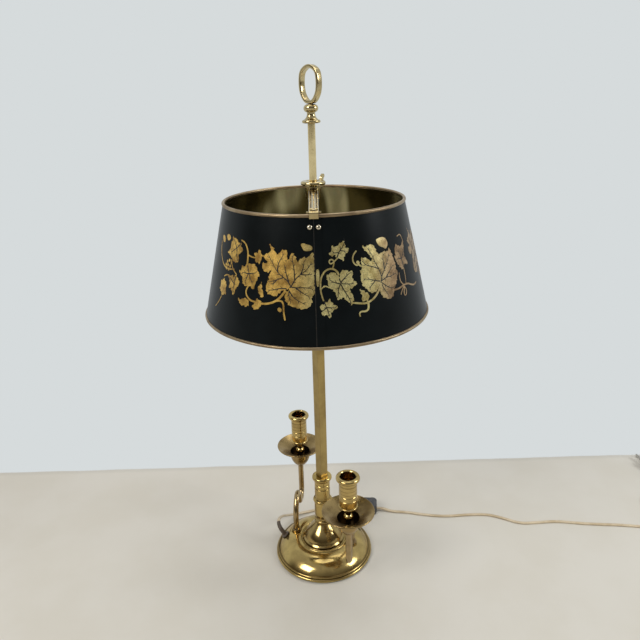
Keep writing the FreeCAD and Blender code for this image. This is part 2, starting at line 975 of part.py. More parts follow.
def make_shade_bridge():
    top = bridge_top()
    flange_top = top + size("bridge_flange_thickness")
    hub = size("bridge_hub_radius")
    flange = size("bridge_flange_radius")
    hole = size("rod_radius") + size("sliding_clearance")
    thick = size("bridge_flange_thickness")
    low = top - size("bridge_hub_height")
    corners = [
        (hole, low),
        (hub - 1.2, low),
        (hub, low + 1.6),
        (hub, top - 1.0),
        (hub + 1.2, top),
        (flange - thick / 2, top),
        (flange, top + thick / 2, flange - thick / 2, flange_top),
        (hub - 1.5, flange_top),
        (hub - 3.0, flange_top - 1.2, hole, flange_top - 1.4),
    ]
    body = turned("shade_bridge", corners)
    width = size("strap_width")
    strap = size("strap_thickness")
    reed = size("strap_reed_radius")
    half = width / 2
    end = strap_end() + 1.0
    start = size("rod_radius") + 4.0
    run = end - start
    base_height = strap_low_at_hub()
    for side, sign in (("front", -1), ("back", 1)):
        section = new_sketch(body, f"{side}_strap_outline", "XZ_Plane", lift=-start * sign)
        draw(
            section,
            [
                (-half, base_height),
                (half, base_height),
                (half, base_height + strap * 0.6),
                (half - 1.1, base_height + strap, half - 2.4, base_height + strap * 0.62),
                (reed * 0.5, base_height + strap * 1.25, -reed * 0.5, base_height + strap * 1.25),
                (-half + 2.4, base_height + strap * 0.62),
                (-half + 1.1, base_height + strap, -half, base_height + strap * 0.6),
            ],
        )
        arm = extrude(body, "Pad", section, f"{side}_strap", run)
        arm.UseCustomVector = True
        arm.Direction = VECTOR(0, sign * value_of(run), value_of(rim_height_at_strap() - base_height))
        arm.AlongSketchNormal = True
    make_bridge_ends(body)
    document.recompute()
    bore = new_sketch(body, "rod_bore_outline", "XY_Plane", lift=low)
    draw_circle(bore, hole)
    extrude(body, "Pocket", bore, "rod_bore", size("bridge_hub_height") + thick, reverse=True)
    screw_hole = body.newObject("Sketcher::SketchObject", "screw_hole_outline")
    screw_hole.AttachmentSupport = [(origin_plane(body, "XY_Plane"), "")]
    screw_hole.MapMode = "FlatFace"
    screw_hole.AttachmentOffset = screw_frame(0)
    draw_circle(screw_hole, size("thumbscrew_radius") + size("sliding_clearance"))
    extrude(body, "Pocket", screw_hole, "screw_hole", size("bridge_flange_radius") + 4, reverse=True)
    cut_rivet_holes(body)


def rim_height_at_strap():
    return shade_top() + size("rim_wire_radius") + size("seat_clearance")


def make_bridge_ends(body):
    # Seen from the side: a flat end over the rim, a hook outside it and a riveted tab inside it.
    wire = size("rim_wire_radius")
    wall = size("shade_wall")
    rim = size("shade_top_radius") - wall / 2
    gap = size("rim_clearance")
    low = rim_height_at_strap()
    over = low + size("strap_thickness")
    out = rim + wire + gap
    inside = rim - wire - gap
    hook = size("hook_thickness")
    tab = size("tab_thickness")
    tab_low = shade_top() - size("tab_height")
    slope = shade_slope()
    inner_face = size("shade_top_radius") - wall - size("tab_clearance")
    tab_top = shade_top() - wire - 2.5
    over_rim = [
        (inside - 14, low),
        (out, low),
        (out, shade_top() - size("hook_drop") / 2),
        (out + hook * 0.8, shade_top() - size("hook_drop") / 2),
        (out + hook, low + 1),
        (out + hook * 0.5, over - 0.6, out - 1.0, over),
        (inside - 3.6, over),
        (inside - 5.2, over + 1.5, inside - 6.8, over),
        (inside - 14, over),
    ]
    behind_sheet = [
        (inside - tab, over - 1.0),
        (inside - tab, tab_top + 1.5),
        (inner_face - tab + slope * (shade_top() - tab_top + 1.0), tab_top - 1.0),
        (inner_face - tab + slope * (shade_top() - tab_low), tab_low),
        (inner_face + slope * (shade_top() - tab_low), tab_low),
        (inner_face + slope * (shade_top() - tab_top), tab_top),
        (inside, shade_top() - 0.8),
        (inside, over - 1.0),
    ]
    spread = size("tab_width") / size("shade_top_radius") * (180 / math.pi)
    for side, sign in (("front", -1), ("back", 1)):
        outline = new_sketch(body, f"{side}_end_outline", "YZ_Plane")
        draw(outline, mirrored(over_rim, sign))
        extrude(body, "Pad", outline, f"{side}_end", size("strap_width") * 0.9, symmetric=True)
        section = new_sketch(body, f"{side}_tab_outline", "YZ_Plane")
        draw(section, mirrored(behind_sheet, sign))
        tab_piece = revolve(body, section, f"{side}_tab", spread)
        tab_piece.Midplane = True


def mirrored(outline, sign):
    return [tuple(part * sign if number % 2 == 0 else part for number, part in enumerate(corner)) for corner in outline]


def rivet_places():
    # Front pair, then back pair: place on the shade's outside and the turn that faces outwards.
    # The front right one sits on the lapped seam.
    height = shade_top() - size("rivet_drop")
    reach = shade_radius_at(height)
    spread = math.degrees(math.asin(value_of(size("rivet_spacing") / 2) / value_of(reach)))
    lap = size("seam_lift")
    return [
        (value_of(reach + lift), value_of(height), turn + side * spread, lift)
        for turn, side, lift in ((-90, -1, 0), (-90, 1, lap), (90, -1, 0), (90, 1, 0))
    ]


def rivet_frame(reach, height, turn):
    # A rivet's seat on the shade, its Z square to the sheet and pointing outwards.
    tilt = math.degrees(math.atan(value_of(shade_slope())))
    around = FreeCAD.Rotation(UP, turn)
    lean = FreeCAD.Rotation(VECTOR(0, 1, 0), 90 - tilt)
    spot = around.multVec(VECTOR(reach + value_of(size("seat_clearance")), 0, height))
    return FreeCAD.Placement(spot, around.multiply(lean))


def cut_rivet_holes(body, turn=0):
    # The body may itself stand turned about the lamp's axis.
    back = FreeCAD.Placement(VECTOR(), FreeCAD.Rotation(UP, -turn))
    for number, spot in enumerate(rivet_places(), start=1):
        outline = body.newObject("Sketcher::SketchObject", f"rivet_hole_{number}_outline")
        outline.AttachmentSupport = [(origin_plane(body, "XY_Plane"), "")]
        outline.MapMode = "FlatFace"
        outline.AttachmentOffset = back.multiply(rivet_frame(*spot[:3]))
        draw_circle(outline, size("rivet_radius") + size("seat_clearance"))
        depth = size("tab_height") / 2
        hole = extrude(body, "Pocket", outline, f"rivet_hole_{number}", depth)
        hole.Midplane = True


def rivet_grip():
    return size("shade_wall") + size("tab_clearance") + size("tab_thickness") + size("seat_clearance") * 3


def make_rivets():
    head = size("rivet_head_radius")
    rise = size("rivet_head_height")
    shank = size("rivet_radius")
    tail = size("rivet_tail_thickness")
    rivets = []
    for number, spot in enumerate(rivet_places(), start=1):
        grip = rivet_grip() + spot[3]
        body = document.addObject("PartDesign::Body", f"rivet_{number}")
        sketch = new_sketch(body, "profile")
        draw(
            sketch,
            [
                (0, -grip - tail),
                (shank + tail, -grip - tail),
                (shank + tail, -grip),
                (shank, -grip),
                (shank, 0.0),
                (head, 0.0),
                (head * 0.72, rise * 0.78, 0.4, rise),
                (0, rise),
            ],
        )
        revolve(body, sketch)
        body.Placement = rivet_frame(*spot[:3])
        rivets.append(body)
    group = document.addObject("Part::Compound", "shade_rivets")
    group.Links = rivets
    keep(group, "shade_rivets")


def screw_frame(lift):
    # The thumbscrew's axis: out of the hub, level, its Z pointing away from the rod.
    turn = FreeCAD.Rotation(UP, value_of(size("thumbscrew_turn")))
    height = bridge_top() + size("bridge_flange_thickness") / 2
    outwards = turn.multiply(FreeCAD.Rotation(VECTOR(0, 1, 0), 90))
    base = turn.multVec(VECTOR(lift, 0, 0)) + VECTOR(0, 0, value_of(height))
    return FreeCAD.Placement(base, outwards)


def make_thumbscrew():
    thread = size("thumbscrew_radius")
    tip = size("rod_radius") + size("seat_clearance")
    collar = size("wing_inner_radius")
    far = size("wing_outer_radius")
    body = new_body("thumbscrew")
    sketch = new_sketch(body, "screw_profile")
    draw(
        sketch,
        [
            (0, tip),
            (thread - 0.8, tip),
            (thread, tip + 0.8),
            (thread, collar - 2.0),
            (thread + 1.4, collar - 2.0),
            (thread + 1.4, collar + 1.0),
            (thread, collar + 3.0),
            (0, collar + 3.0),
        ],
    )
    revolve(body, sketch, "screw")
    wing = new_sketch(body, "wing_outline", "XZ_Plane")
    half = size("wing_height") / 2
    draw(
        wing,
        [
            (1.8, collar),
            (half * 0.75, collar + 1.6, half, far - 3.6),
            (half * 0.86, far - 0.5, half * 0.45, far - 1.4),
            (0, far - 3.4, -half * 0.45, far - 1.4),
            (-half * 0.86, far - 0.5, -half, far - 3.6),
            (-half * 0.75, collar + 1.6, -1.8, collar),
        ],
    )
    extrude(body, "Pad", wing, "wing", size("wing_thickness"), symmetric=True)
    body.Placement = screw_frame(0)


# Candle arms


def arm_start():
    return pad_top() + size("foot_gap") + size("arm_foot_height")


def arm_route():
    # The S scroll in its own upright plane: corner points and centres worked out as it goes.
    shoulder = size("arm_shoulder_radius")
    crest = size("arm_crest_radius")
    trough = size("arm_trough_radius")
    first = size("arm_shoulder_turn")
    second = size("arm_crest_turn")
    fall = second - first
    lean = Size(90.0, "90") - first
    low = (Size(0.0, "0"), arm_start() - 1.0)
    riser = (low[0], low[1] + size("arm_riser"))
    shoulder_end = (riser[0] + shoulder - shoulder * first.cosine(), riser[1] + shoulder * first.sine())
    heading = lean
    crest_centre = (
        shoulder_end[0] + crest * heading.sine(),
        shoulder_end[1] - crest * heading.cosine(),
    )
    down = second - lean
    crest_end = (crest_centre[0] + crest * down.sine(), crest_centre[1] + crest * down.cosine())
    slope_end = (
        crest_end[0] + size("arm_slope") * down.cosine(),
        crest_end[1] - size("arm_slope") * down.sine(),
    )
    trough_centre = (slope_end[0] + trough * down.sine(), slope_end[1] + trough * down.cosine())
    trough_end = (trough_centre[0] + trough, trough_centre[1])
    return {
        "low": low,
        "riser": riser,
        "shoulder_centre": (riser[0] + shoulder, riser[1]),
        "shoulder_end": shoulder_end,
        "crest_centre": crest_centre,
        "crest_end": crest_end,
        "slope_end": slope_end,
        "trough_centre": trough_centre,
        "trough_end": trough_end,
        "top": (trough_end[0], bell_foot_height()),
    }


def bell_foot_height():
    return size("bell_rim_height") - size("bell_cup_depth") - size("bell_wall")


def arc_middle(centre, start, end, long_way=False):
    middle = (flat(start) + flat(end)) / 2 - flat(centre)
    radius = (flat(start) - flat(centre)).Length
    middle.normalize()
    spot = flat(centre) + middle * (-radius if long_way else radius)
    return spot


def make_arm_rod(label):
    route = arm_route()
    body = new_body(label)
    path = new_sketch(body, "path")
    order = ["low", "riser", "shoulder_end", "crest_end", "slope_end", "trough_end", "top"]
    bends = {
        "shoulder_end": ("shoulder_centre", False),
        "crest_end": ("crest_centre", False),
        "trough_end": ("trough_centre", False),
    }
    previous = None
    for start_name, end_name in zip(order, order[1:]):
        start, end = route[start_name], route[end_name]
        if end_name in bends:
            centre = route[bends[end_name][0]]
            middle = arc_middle(centre, start, end)
            arc, forward = arc_through(start, (middle.x, middle.y), end)
            shape = path.addGeometry(arc)
            first, last = (1, 2) if forward else (2, 1)
            pin(path, shape, 3, centre)
        else:
            shape = path.addGeometry(Part.LineSegment(flat(start), flat(end)))
            first, last = 1, 2
        if previous:
            path.addConstraint(Sketcher.Constraint("Coincident", previous[0], previous[1], shape, first))
        else:
            pin(path, shape, first, start)
        if end_name in bends:
            rule = Sketcher.Constraint("DistanceY", -1, 1, shape, last, value_of(end[1]))
            bind(path, f"Constraints[{path.addConstraint(rule)}]", end[1])
        else:
            pin(path, shape, last, end)
        previous = (shape, last)
    section = new_sketch(body, "section", "XY_Plane", lift=route["low"][1])
    draw_circle(section, size("arm_rod_radius"))
    scroll = body.newObject("PartDesign::AdditivePipe", "scroll")
    scroll.Profile = section
    scroll.Spine = (path, [f"Edge{number}" for number in range(1, len(order))])
    mouth = new_sketch(body, "tenon_hole_outline", "XY_Plane", lift=route["top"][1])
    draw_circle(mouth, size("tenon_radius") + size("seat_clearance"), (route["top"][0], 0))
    extrude(body, "Pocket", mouth, "tenon_hole", size("tenon_length") + size("foot_gap"))
    return body


def make_arm_foot(label):
    low = pad_top() + size("foot_gap")
    rod = size("arm_rod_radius") + size("seat_clearance")
    edge = size("arm_foot_radius")
    high = size("arm_foot_height")
    stud = size("arm_stud_radius")
    stud_low = pad_underside() - size("foot_gap") - size("arm_nut_thickness") - 0.6
    return turned(
        label,
        [
            (0, stud_low),
            (stud - 0.5, stud_low),
            (stud, stud_low + 0.5),
            (stud, low),
            (edge, low),
            (edge, low + 1.6),
            (edge - 0.4, low + 2.6, rod + 0.9, low + high),
            (rod, low + high),
            (rod, low + high - 1.0),
            (0, low + high - 1.0),
        ],
    )


def bell_corners():
    rim = size("bell_rim_height")
    edge = size("bell_rim_radius")
    cup = size("bell_cup_radius")
    wall = size("bell_wall")
    lip = size("bell_lip")
    flare = rim - size("bell_flare_depth")
    foot = size("bell_foot_radius")
    bottom = rim - size("bell_cup_depth")
    hole = size("tenon_radius") + size("seat_clearance")
    return [
        (hole, bottom - wall),
        (foot, bottom - wall),
        (cup * 0.74, bottom + 6.5, cup - 1.6, flare - 9.5),
        (cup, flare),
        (cup + 6.5, flare + 4.4, edge - lip, rim - lip * 2),
        (edge, rim - lip, edge - lip, rim),
        (cup + 6.0, flare + 6.2, cup - wall, flare + 1.2),
        (cup - 1.6 - wall, flare - 9.0),
        (cup * 0.74 - wall, bottom + 7.0, foot - wall, bottom),
        (hole, bottom),
    ]


def socket_corners():
    rim = size("bell_rim_height")
    top = rim + size("socket_rise")
    foot = rim + size("socket_foot_rise")
    body = size("socket_body_radius")
    hole = size("candle_hole_radius")
    over = size("socket_lip_overhang")
    lip_low = top - size("lip_thickness")
    stem = size("stem_radius")
    ball = size("stem_ball_radius")
    ball_height = rim - size("stem_ball_drop")
    bottom = rim - size("bell_cup_depth")
    tenon = size("tenon_radius")
    tenon_low = bell_foot_height() - size("tenon_length")
    depth = size("groove_depth")
    bulge = size("socket_foot_bead")
    corners = [
        (0, tenon_low),
        (tenon - 0.5, tenon_low),
        (tenon, tenon_low + 0.5),
        (tenon, bottom),
        (stem + 0.6, bottom),
        (stem, bottom + 5),
        (stem, ball_height - ball * 0.8),
        (ball, ball_height, stem, ball_height + ball * 0.8),
        (stem, foot - 4.5),
        (stem + 1.0, foot - 1.0, body - 2.0, foot),
    ]
    corners += bead(body - 0.4, foot + bulge, bulge)
    corners += groove(body, foot + 14, depth)
    corners += groove(body, foot + 14 + size("groove_spacing"), depth)
    corners += [
        (body, lip_low - 2.0),
        (body + 0.6, lip_low - 0.6, body + over - 2.0, lip_low),
        (body + over, lip_low + size("lip_thickness") * 0.45, body + over - 2.4, top),
        (hole + 1.0, top),
        (hole, top - 1.0),
        (hole, top - size("candle_hole_depth")),
        (0, top - size("candle_hole_depth")),
    ]
    return corners


def make_candle_arms():
    reach = arm_route()["top"][0]
    for side, half_turn, across, along in foot_places():
        turn = size("arm_turn") + half_turn
        foot = (across, along, 0)
        candle = (across + reach * turn.cosine(), along + reach * turn.sine(), 0)
        place(make_arm_rod(f"{side}_candle_arm"), foot, turn)
        place(make_arm_foot(f"{side}_arm_foot"), foot, turn)
        nut_low = pad_underside() - size("foot_gap") - size("arm_nut_thickness")
        make_hex_nut(
            f"{side}_arm_nut",
            size("arm_nut_across_corners"),
            size("arm_nut_thickness"),
            size("arm_stud_radius") + size("seat_clearance"),
            (across, along, nut_low),
        )
        place(turned(f"{side}_drip_bell", bell_corners()), candle, turn)
        place(turned(f"{side}_candle_socket", socket_corners()), candle, turn)


# Lead, switch and plug. The route's points are millimetres on the table, heights to the lead's middle.

NEAR_POINTS = [
    (-73.5, 23.0, 31.5),
    (-74.0, 36.0, 31.0),
    (-70.5, 53.0, 23.0),
    (-60.0, 69.0, 11.5),
    (-43.0, 81.0, 4.6),
    (-20.0, 90.5, 2.7),
    (4.0, 96.0, 3.4),
]

FAR_POINTS = [
    (118.0, 83.5, 2.7),
    (148.0, 80.0, 2.7),
    (177.0, 71.5, 2.7),
    (212.0, 66.0, 2.7),
    (250.0, 69.0, 2.7),
    (284.0, 68.5, 2.7),
    (309.0, 57.0, 2.7),
    (333.0, 42.5, 2.7),
    (362.0, 44.0, 2.7),
    (396.0, 46.0, 2.7),
    (428.0, 39.5, 2.7),
    (462.0, 35.0, 2.7),
    (498.0, 32.0, 2.7),
    (532.0, 26.0, 2.7),
    (564.0, 22.5, 2.7),
]

COIL_CENTRE = (610.0, 71.0)
COIL_LOOPS_PER_LAYER = 2
SWITCH_CENTRE = (67.0, 91.5)
SWITCH_TURN = -5.0
PLUG_END = (640.0, 168.0)


def rounded_route(label, points):
    # Straight runs joined by the largest tangent arcs that they leave room for.
    spots = [VECTOR(*point) for point in points]
    edges = []
    radii = []
    last = spots[0]
    for before, spot, after in zip(spots, spots[1:], spots[2:]):
        to_before = (before - spot).normalize()
        to_after = (after - spot).normalize()
        turn = math.pi - to_before.getAngle(to_after)
        cut = 0.45 * min((before - spot).Length, (after - spot).Length)
        radius = cut / math.tan(turn / 2)
        radii.append(radius)
        start = spot + to_before * cut
        end = spot + to_after * cut
        bisector = (to_before + to_after).normalize()
        centre = spot + bisector * (radius / math.cos(turn / 2))
        middle = centre - bisector * radius
        edges.append(Part.LineSegment(last, start).toShape())
        edges.append(Part.Arc(start, middle, end).toShape())
        last = end
    edges.append(Part.LineSegment(last, spots[-1]).toShape())
    wire = Part.Wire(edges)
    print(f"{label}: length {wire.Length:.1f}, radii", " ".join(f"{radius:.0f}" for radius in radii))
    return wire


def swept(label, wire, radius):
    start = wire.Edges[0]
    first = start.firstVertex(True).Point
    heading = start.tangentAt(start.FirstParameter)
    if (start.valueAt(start.FirstParameter) - first).Length > 0.01:
        heading = -start.tangentAt(start.LastParameter)
    ring = Part.Wire(Part.makeCircle(radius, first, heading))
    solid = wire.makePipeShell([ring], True, False)
    expected = math.pi * radius**2 * wire.Length
    print(f"{label}: volume over section times length {solid.Volume / expected:.4f}")
    piece = document.addObject("Part::Feature", label)
    piece.Shape = solid
    piece.Placement = FreeCAD.Placement()
    return keep(piece, label)


def switch_end(sign, outside=0.0):
    # A point on the switch's middle line: where a lead ends in its mouth, or some way outside it.
    turn = math.radians(SWITCH_TURN)
    inside = value_of(size("lead_mouth_depth"))
    reach = (value_of(size("switch_length")) / 2 + (outside if outside else -inside)) * sign
    across = SWITCH_CENTRE[0] + reach * math.cos(turn)
    along = SWITCH_CENTRE[1] + reach * math.sin(turn)
    return across, along, value_of(size("lead_mouth_height"))


def make_cord_near():
    radius = value_of(size("cord_radius"))
    mouth = exit_frame(value_of(size("grommet_stand")))
    out = mouth.Rotation.multVec(UP)
    step = mouth.Base + out * 9
    points = [tuple(mouth.Base), tuple(step)] + NEAR_POINTS + [switch_end(-1, 12.0), switch_end(-1)]
    swept("cord_lead_near", rounded_route("cord_lead_near", points), radius)


def coil_place(turns):
    # A point of the coil's middle line after some turns: in on the lower layer, out on the upper.
    layer = COIL_LOOPS_PER_LAYER
    radius = value_of(size("cord_radius"))
    pitch = value_of(size("coil_pitch"))
    outer = value_of(size("coil_outer_radius"))
    reach = outer - pitch * min(turns, 2 * layer - turns)
    rise = min(max((turns - layer + 0.25) / 0.5, 0.0), 1.0)
    height = radius + pitch * rise * rise * (3 - 2 * rise)
    angle = math.radians(-90) + 2 * math.pi * turns
    across = COIL_CENTRE[0] + reach * math.cos(angle)
    along = COIL_CENTRE[1] + reach * math.sin(angle)
    return VECTOR(across, along, height)


def coil_heading(turns):
    step = 0.0005
    low = max(turns - step, 0.0)
    high = min(turns + step, 2.0 * COIL_LOOPS_PER_LAYER)
    return (coil_place(high) - coil_place(low)).normalize()


def biarc(start, heading, end, last_heading):
    # Two arcs that meet smoothly and keep both end headings.
    chord = end - start
    both = heading + last_heading
    a = 2 * (1 - heading.dot(last_heading))
    b = 2 * chord.dot(both)
    c = -chord.dot(chord)
    reach = -c / b if abs(a) < 1e-9 else (-b + math.sqrt(b * b - 4 * a * c)) / (2 * a)
    reach = abs(reach)
    joint = (start + heading * reach + end - last_heading * reach) / 2
    edges = []
    for a_point, b_point, direction in ((start, joint, heading), (joint, end, None)):
        if direction is None:
            direction = -last_heading
            edges.append(tangent_arc(b_point, a_point, direction, True))
        else:
            edges.append(tangent_arc(a_point, b_point, direction, False))
    return edges


def tangent_arc(start, end, heading, backwards):
    chord = end - start
    side = chord - heading * chord.dot(heading)
    if side.Length < 1e-6:
        return Part.LineSegment(end, start).toShape() if backwards else Part.LineSegment(start, end).toShape()
    side.normalize()
    radius = chord.Length**2 / (2 * chord.dot(side))
    centre = start + side * radius
    outward = (start + end) / 2 - centre
    middle = centre + outward.normalize() * radius
    if backwards:
        return Part.Arc(end, middle, start).toShape()
    return Part.Arc(start, middle, end).toShape()


def coil_wire():
    quarter = 0.25
    count = round(2 * COIL_LOOPS_PER_LAYER / quarter)
    edges = []
    for number in range(count):
        low, high = number * quarter, (number + 1) * quarter
        edges += biarc(coil_place(low), coil_heading(low), coil_place(high), coil_heading(high))
    return Part.Wire(edges)


def make_cord_coil():
    radius = value_of(size("cord_radius"))
    wire = coil_wire()
    swept("cord_coil", wire, radius)
    spots = wire.discretize(Number=900)
    step = wire.Length / 899
    skip = int(6 * radius / step) + 1
    least = min(
        (spots[i] - spots[j]).Length - 2 * radius
        for i in range(0, len(spots), 3)
        for j in range(i + skip, len(spots), 2)
    )
    print(f"cord_coil: length {wire.Length:.1f}, least gap to itself {least:.2f}")


def make_cord_far():
    radius = value_of(size("cord_radius"))
    start = coil_place(0)
    before = start - coil_heading(0) * 24
    points = [switch_end(1), switch_end(1, 12.0)] + FAR_POINTS + [tuple(before), tuple(start)]
    swept("cord_lead_far", rounded_route("cord_lead_far", points), radius)


def make_cord_tail():
    radius = value_of(size("cord_radius"))
    last = 2 * COIL_LOOPS_PER_LAYER
    start = coil_place(last)
    heading = coil_heading(last)
    height = value_of(size("plug_thickness")) / 2
    step = start + heading * 22
    points = [
        tuple(start),
        tuple(step),
        (654.0, 30.0, 7.0),
        (672.0, 52.0, 5.0),
        (678.0, 82.0, 4.5),
        (668.0, 112.0, 6.5),
        (PLUG_END[0] + 8, PLUG_END[1] - 28, height),
        (PLUG_END[0], PLUG_END[1], height),
    ]
    swept("cord_tail", rounded_route("cord_tail", points), radius)


def make_grommet():
    hole = size("cord_radius") + size("seat_clearance")
    edge = size("grommet_radius")
    flange = size("grommet_flange_radius")
    stand = size("grommet_stand")
    body = turned(
        "cord_grommet",
        [
            (0, -4.5),
            (edge, -4.5),
            (edge, 0.6),
            (flange, 0.6),
            (flange, 1.8),
            (hole + 0.8, stand),
            (0, stand),
        ],
    )
    body.Placement = exit_frame(0)


def make_switch():
    length = size("switch_length")
    half_width = size("switch_width") / 2
    half_height = size("switch_thickness") / 2
    wheel = size("switch_wheel_radius")
    wheel_half = size("switch_wheel_thickness") / 2
    wheel_along = half_width - wheel + size("switch_wheel_overhang")
    gap = 0.3
    shells = (("lower", 0, half_height), ("upper", half_height, half_height * 2))
    for name, low, top in shells:
        body = new_body(f"switch_{name}_shell")
        outline = new_sketch(body, "outline", "XY_Plane", lift=low)
        draw(
            outline,
            [
                (-length / 2, -4.5),
                (-length / 2 + 2, -half_width * 0.86, -length / 2 + 11, -half_width),
                (length / 2 - 11, -half_width),
                (length / 2 - 2, -half_width * 0.86, length / 2, -4.5),
                (length / 2, 4.5),
                (length / 2 - 2, half_width * 0.86, length / 2 - 11, half_width),
                (-length / 2 + 11, half_width),
                (-length / 2 + 2, half_width * 0.86, -length / 2, 4.5),
            ],
        )
        shell = extrude(body, "Pad", outline, "shell", top - low)
        document.recompute()
        outer = value_of(top) if name == "upper" else value_of(low)
        edges = []
        for number, edge in enumerate(shell.Shape.Edges, start=1):
            box = edge.BoundBox
            if abs(box.ZMax - outer) < 0.01 and abs(box.ZMin - outer) < 0.01:
                edges.append(f"Edge{number}")
        softened = body.newObject("PartDesign::Fillet", "soft_edges")
        softened.Base = (shell, edges)
        softened.Radius = 2.2
        room = new_sketch(body, "wheel_room_outline", "XY_Plane", lift=half_height)
        draw_circle(room, wheel + gap * 2, (0, wheel_along))
        extrude(body, "Pocket", room, "wheel_room", wheel_half + gap, reverse=name == "upper")
        axle_hole = new_sketch(body, "axle_hole_outline", "XY_Plane", lift=half_height)
        draw_circle(axle_hole, size("switch_axle_radius") + size("seat_clearance"), (0, wheel_along))
        depth = size("switch_axle_length") / 2
        extrude(body, "Pocket", axle_hole, "axle_hole", depth, reverse=name == "upper")
        if name == "lower":
            for end, sign in (("near", -1), ("far", 1)):
                lift = length / 2 * sign
                mouth = new_sketch(body, f"{end}_mouth_outline", "YZ_Plane", lift=lift)
                draw_circle(mouth, size("cord_radius") + size("seat_clearance"), (0, size("lead_mouth_height")))
                extrude(body, "Pocket", mouth, f"{end}_mouth", size("lead_mouth_depth") + 0.5, reverse=sign < 0)
        place(body, (SWITCH_CENTRE[0], SWITCH_CENTRE[1], 0), SWITCH_TURN)
    axle = size("switch_axle_radius")
    pin_hole = axle + size("sliding_clearance")
    knob = turned(
        "switch_wheel",
        [
            (pin_hole, -wheel_half),
            (wheel - 0.6, -wheel_half),
            (wheel, -wheel_half + 0.6),
            (wheel, wheel_half - 0.6),
            (wheel - 0.6, wheel_half),
            (pin_hole, wheel_half),
        ],
    )
    turn = math.radians(SWITCH_TURN)
    along = value_of(wheel_along)
    spot = (
        SWITCH_CENTRE[0] - along * math.sin(turn),
        SWITCH_CENTRE[1] + along * math.cos(turn),
        half_height,
    )
    place(knob, spot, SWITCH_TURN)
    reach = size("switch_axle_length") / 2
    pin_piece = turned("switch_axle", [(0, -reach), (axle, -reach), (axle, reach), (0, reach)])
    place(pin_piece, spot, SWITCH_TURN)


def make_plug():
    width = size("plug_width")
    thick = size("plug_thickness")
    length = size("plug_length")
    body = new_body("plug_body")
    outline = new_sketch(body, "outline", "XY_Plane")
    half = width / 2
    draw(
        outline,
        [
            (5.0, 0),
            (half * 0.8, length * 0.3, half, length * 0.62),
            (half, length),
            (-half, length),
            (-half, length * 0.62),
            (-half * 0.8, length * 0.3, -5.0, 0),
        ],
    )
    extrude(body, "Pad", outline, "block", thick)
    blades = []
    for sign in (-1, 1):
        blade = document.addObject("Part::Box", f"blade_{'left' if sign < 0 else 'right'}")
        blade.Length = value_of(size("blade_thickness"))
        blade.Width = value_of(size("blade_length") + 6)
        blade.Height = value_of(size("blade_width"))
        bind(blade, "Length", size("blade_thickness"))
        bind(blade, "Width", size("blade_length") + 6)
        bind(blade, "Height", size("blade_width"))
        spot = (
            size("blade_spacing") / 2 * sign - size("blade_thickness") / 2,
            length,
            thick / 2 - size("blade_width") / 2,
        )
        place(blade, spot)
        blades.append(blade)
    group = document.addObject("Part::Compound", "plug_blades")
    group.Links = blades
    keep(group, "plug_blades")
    turn = 15.9
    place(body, (PLUG_END[0], PLUG_END[1], 0), turn)
    place(group, (PLUG_END[0], PLUG_END[1], 0), turn)


def build():
    fill_sheet()
    make_felt()
    make_weight()
    make_base_shell()
    make_washer()
    make_pipe_nut()
    make_column_foot()
    make_column()
    make_centre_pipe()
    make_post()
    make_post_cap()
    make_light_cluster()
    make_lights()
    make_upper_rod()
    make_knop()
    make_carrying_ring()
    make_shade_panel()
    make_shade_rims()
    make_shade_bridge()
    make_rivets()
    make_thumbscrew()
    make_candle_arms()
    make_grommet()
    make_cord_near()
    make_switch()
    make_cord_far()
    make_cord_coil()
    make_cord_tail()
    make_plug()
    document.recompute()


def check():
    faults = []
    for thing in document.Objects:
        if "Invalid" in thing.State or "Error" in thing.State:
            faults.append(f"{thing.Label} is {thing.State}")
    for node in nodes:
        shape = node.Shape
        if shape.isNull() or not shape.isValid() or shape.Volume <= 0:
            faults.append(f"{node.Label} has no sound shape")
    if faults:
        raise RuntimeError("; ".join(faults))


def export():
    os.makedirs("parts", exist_ok=True)
    for node in nodes:
        node.Shape.exportStep(f"parts/{node.Label}.step")
    print(f"{len(nodes)} nodes written")


build()
check()
export()
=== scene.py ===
import math

import bpy
from mathutils import Matrix, Vector


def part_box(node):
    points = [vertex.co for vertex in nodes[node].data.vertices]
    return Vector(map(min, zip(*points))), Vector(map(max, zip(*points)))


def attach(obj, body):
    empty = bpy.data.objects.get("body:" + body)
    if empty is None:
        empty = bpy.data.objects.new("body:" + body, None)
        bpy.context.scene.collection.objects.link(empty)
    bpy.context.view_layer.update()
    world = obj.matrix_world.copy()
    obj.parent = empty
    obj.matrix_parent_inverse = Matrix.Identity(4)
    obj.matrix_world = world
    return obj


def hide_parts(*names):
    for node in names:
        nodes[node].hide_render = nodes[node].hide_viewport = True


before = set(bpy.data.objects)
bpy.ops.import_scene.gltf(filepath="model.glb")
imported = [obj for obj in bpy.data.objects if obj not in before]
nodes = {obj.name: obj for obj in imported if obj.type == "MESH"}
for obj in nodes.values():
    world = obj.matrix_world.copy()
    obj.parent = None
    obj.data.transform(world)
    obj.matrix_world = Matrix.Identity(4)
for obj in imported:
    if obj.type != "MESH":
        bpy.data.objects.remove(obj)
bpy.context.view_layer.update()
bpy.ops.object.select_all(action="DESELECT")
print("frame loaded")

mm = 0.001


# Small helpers


def selectOnly(obj):
    bpy.ops.object.select_all(action="DESELECT")
    obj.select_set(True)
    bpy.context.view_layer.objects.active = obj


def newObject(name, data):
    obj = bpy.data.objects.new(name, data)
    bpy.context.scene.collection.objects.link(obj)
    return obj


def addNurbs(data, points, resolution, closed=False, reachEnds=False):
    spline = data.splines.new("NURBS")
    spline.points.add(len(points) - 1)
    for knot, place in zip(spline.points, points):
        knot.co = (*place, 1.0)
    spline.order_u = 3
    spline.use_endpoint_u = reachEnds
    spline.use_cyclic_u = closed
    spline.resolution_u = resolution


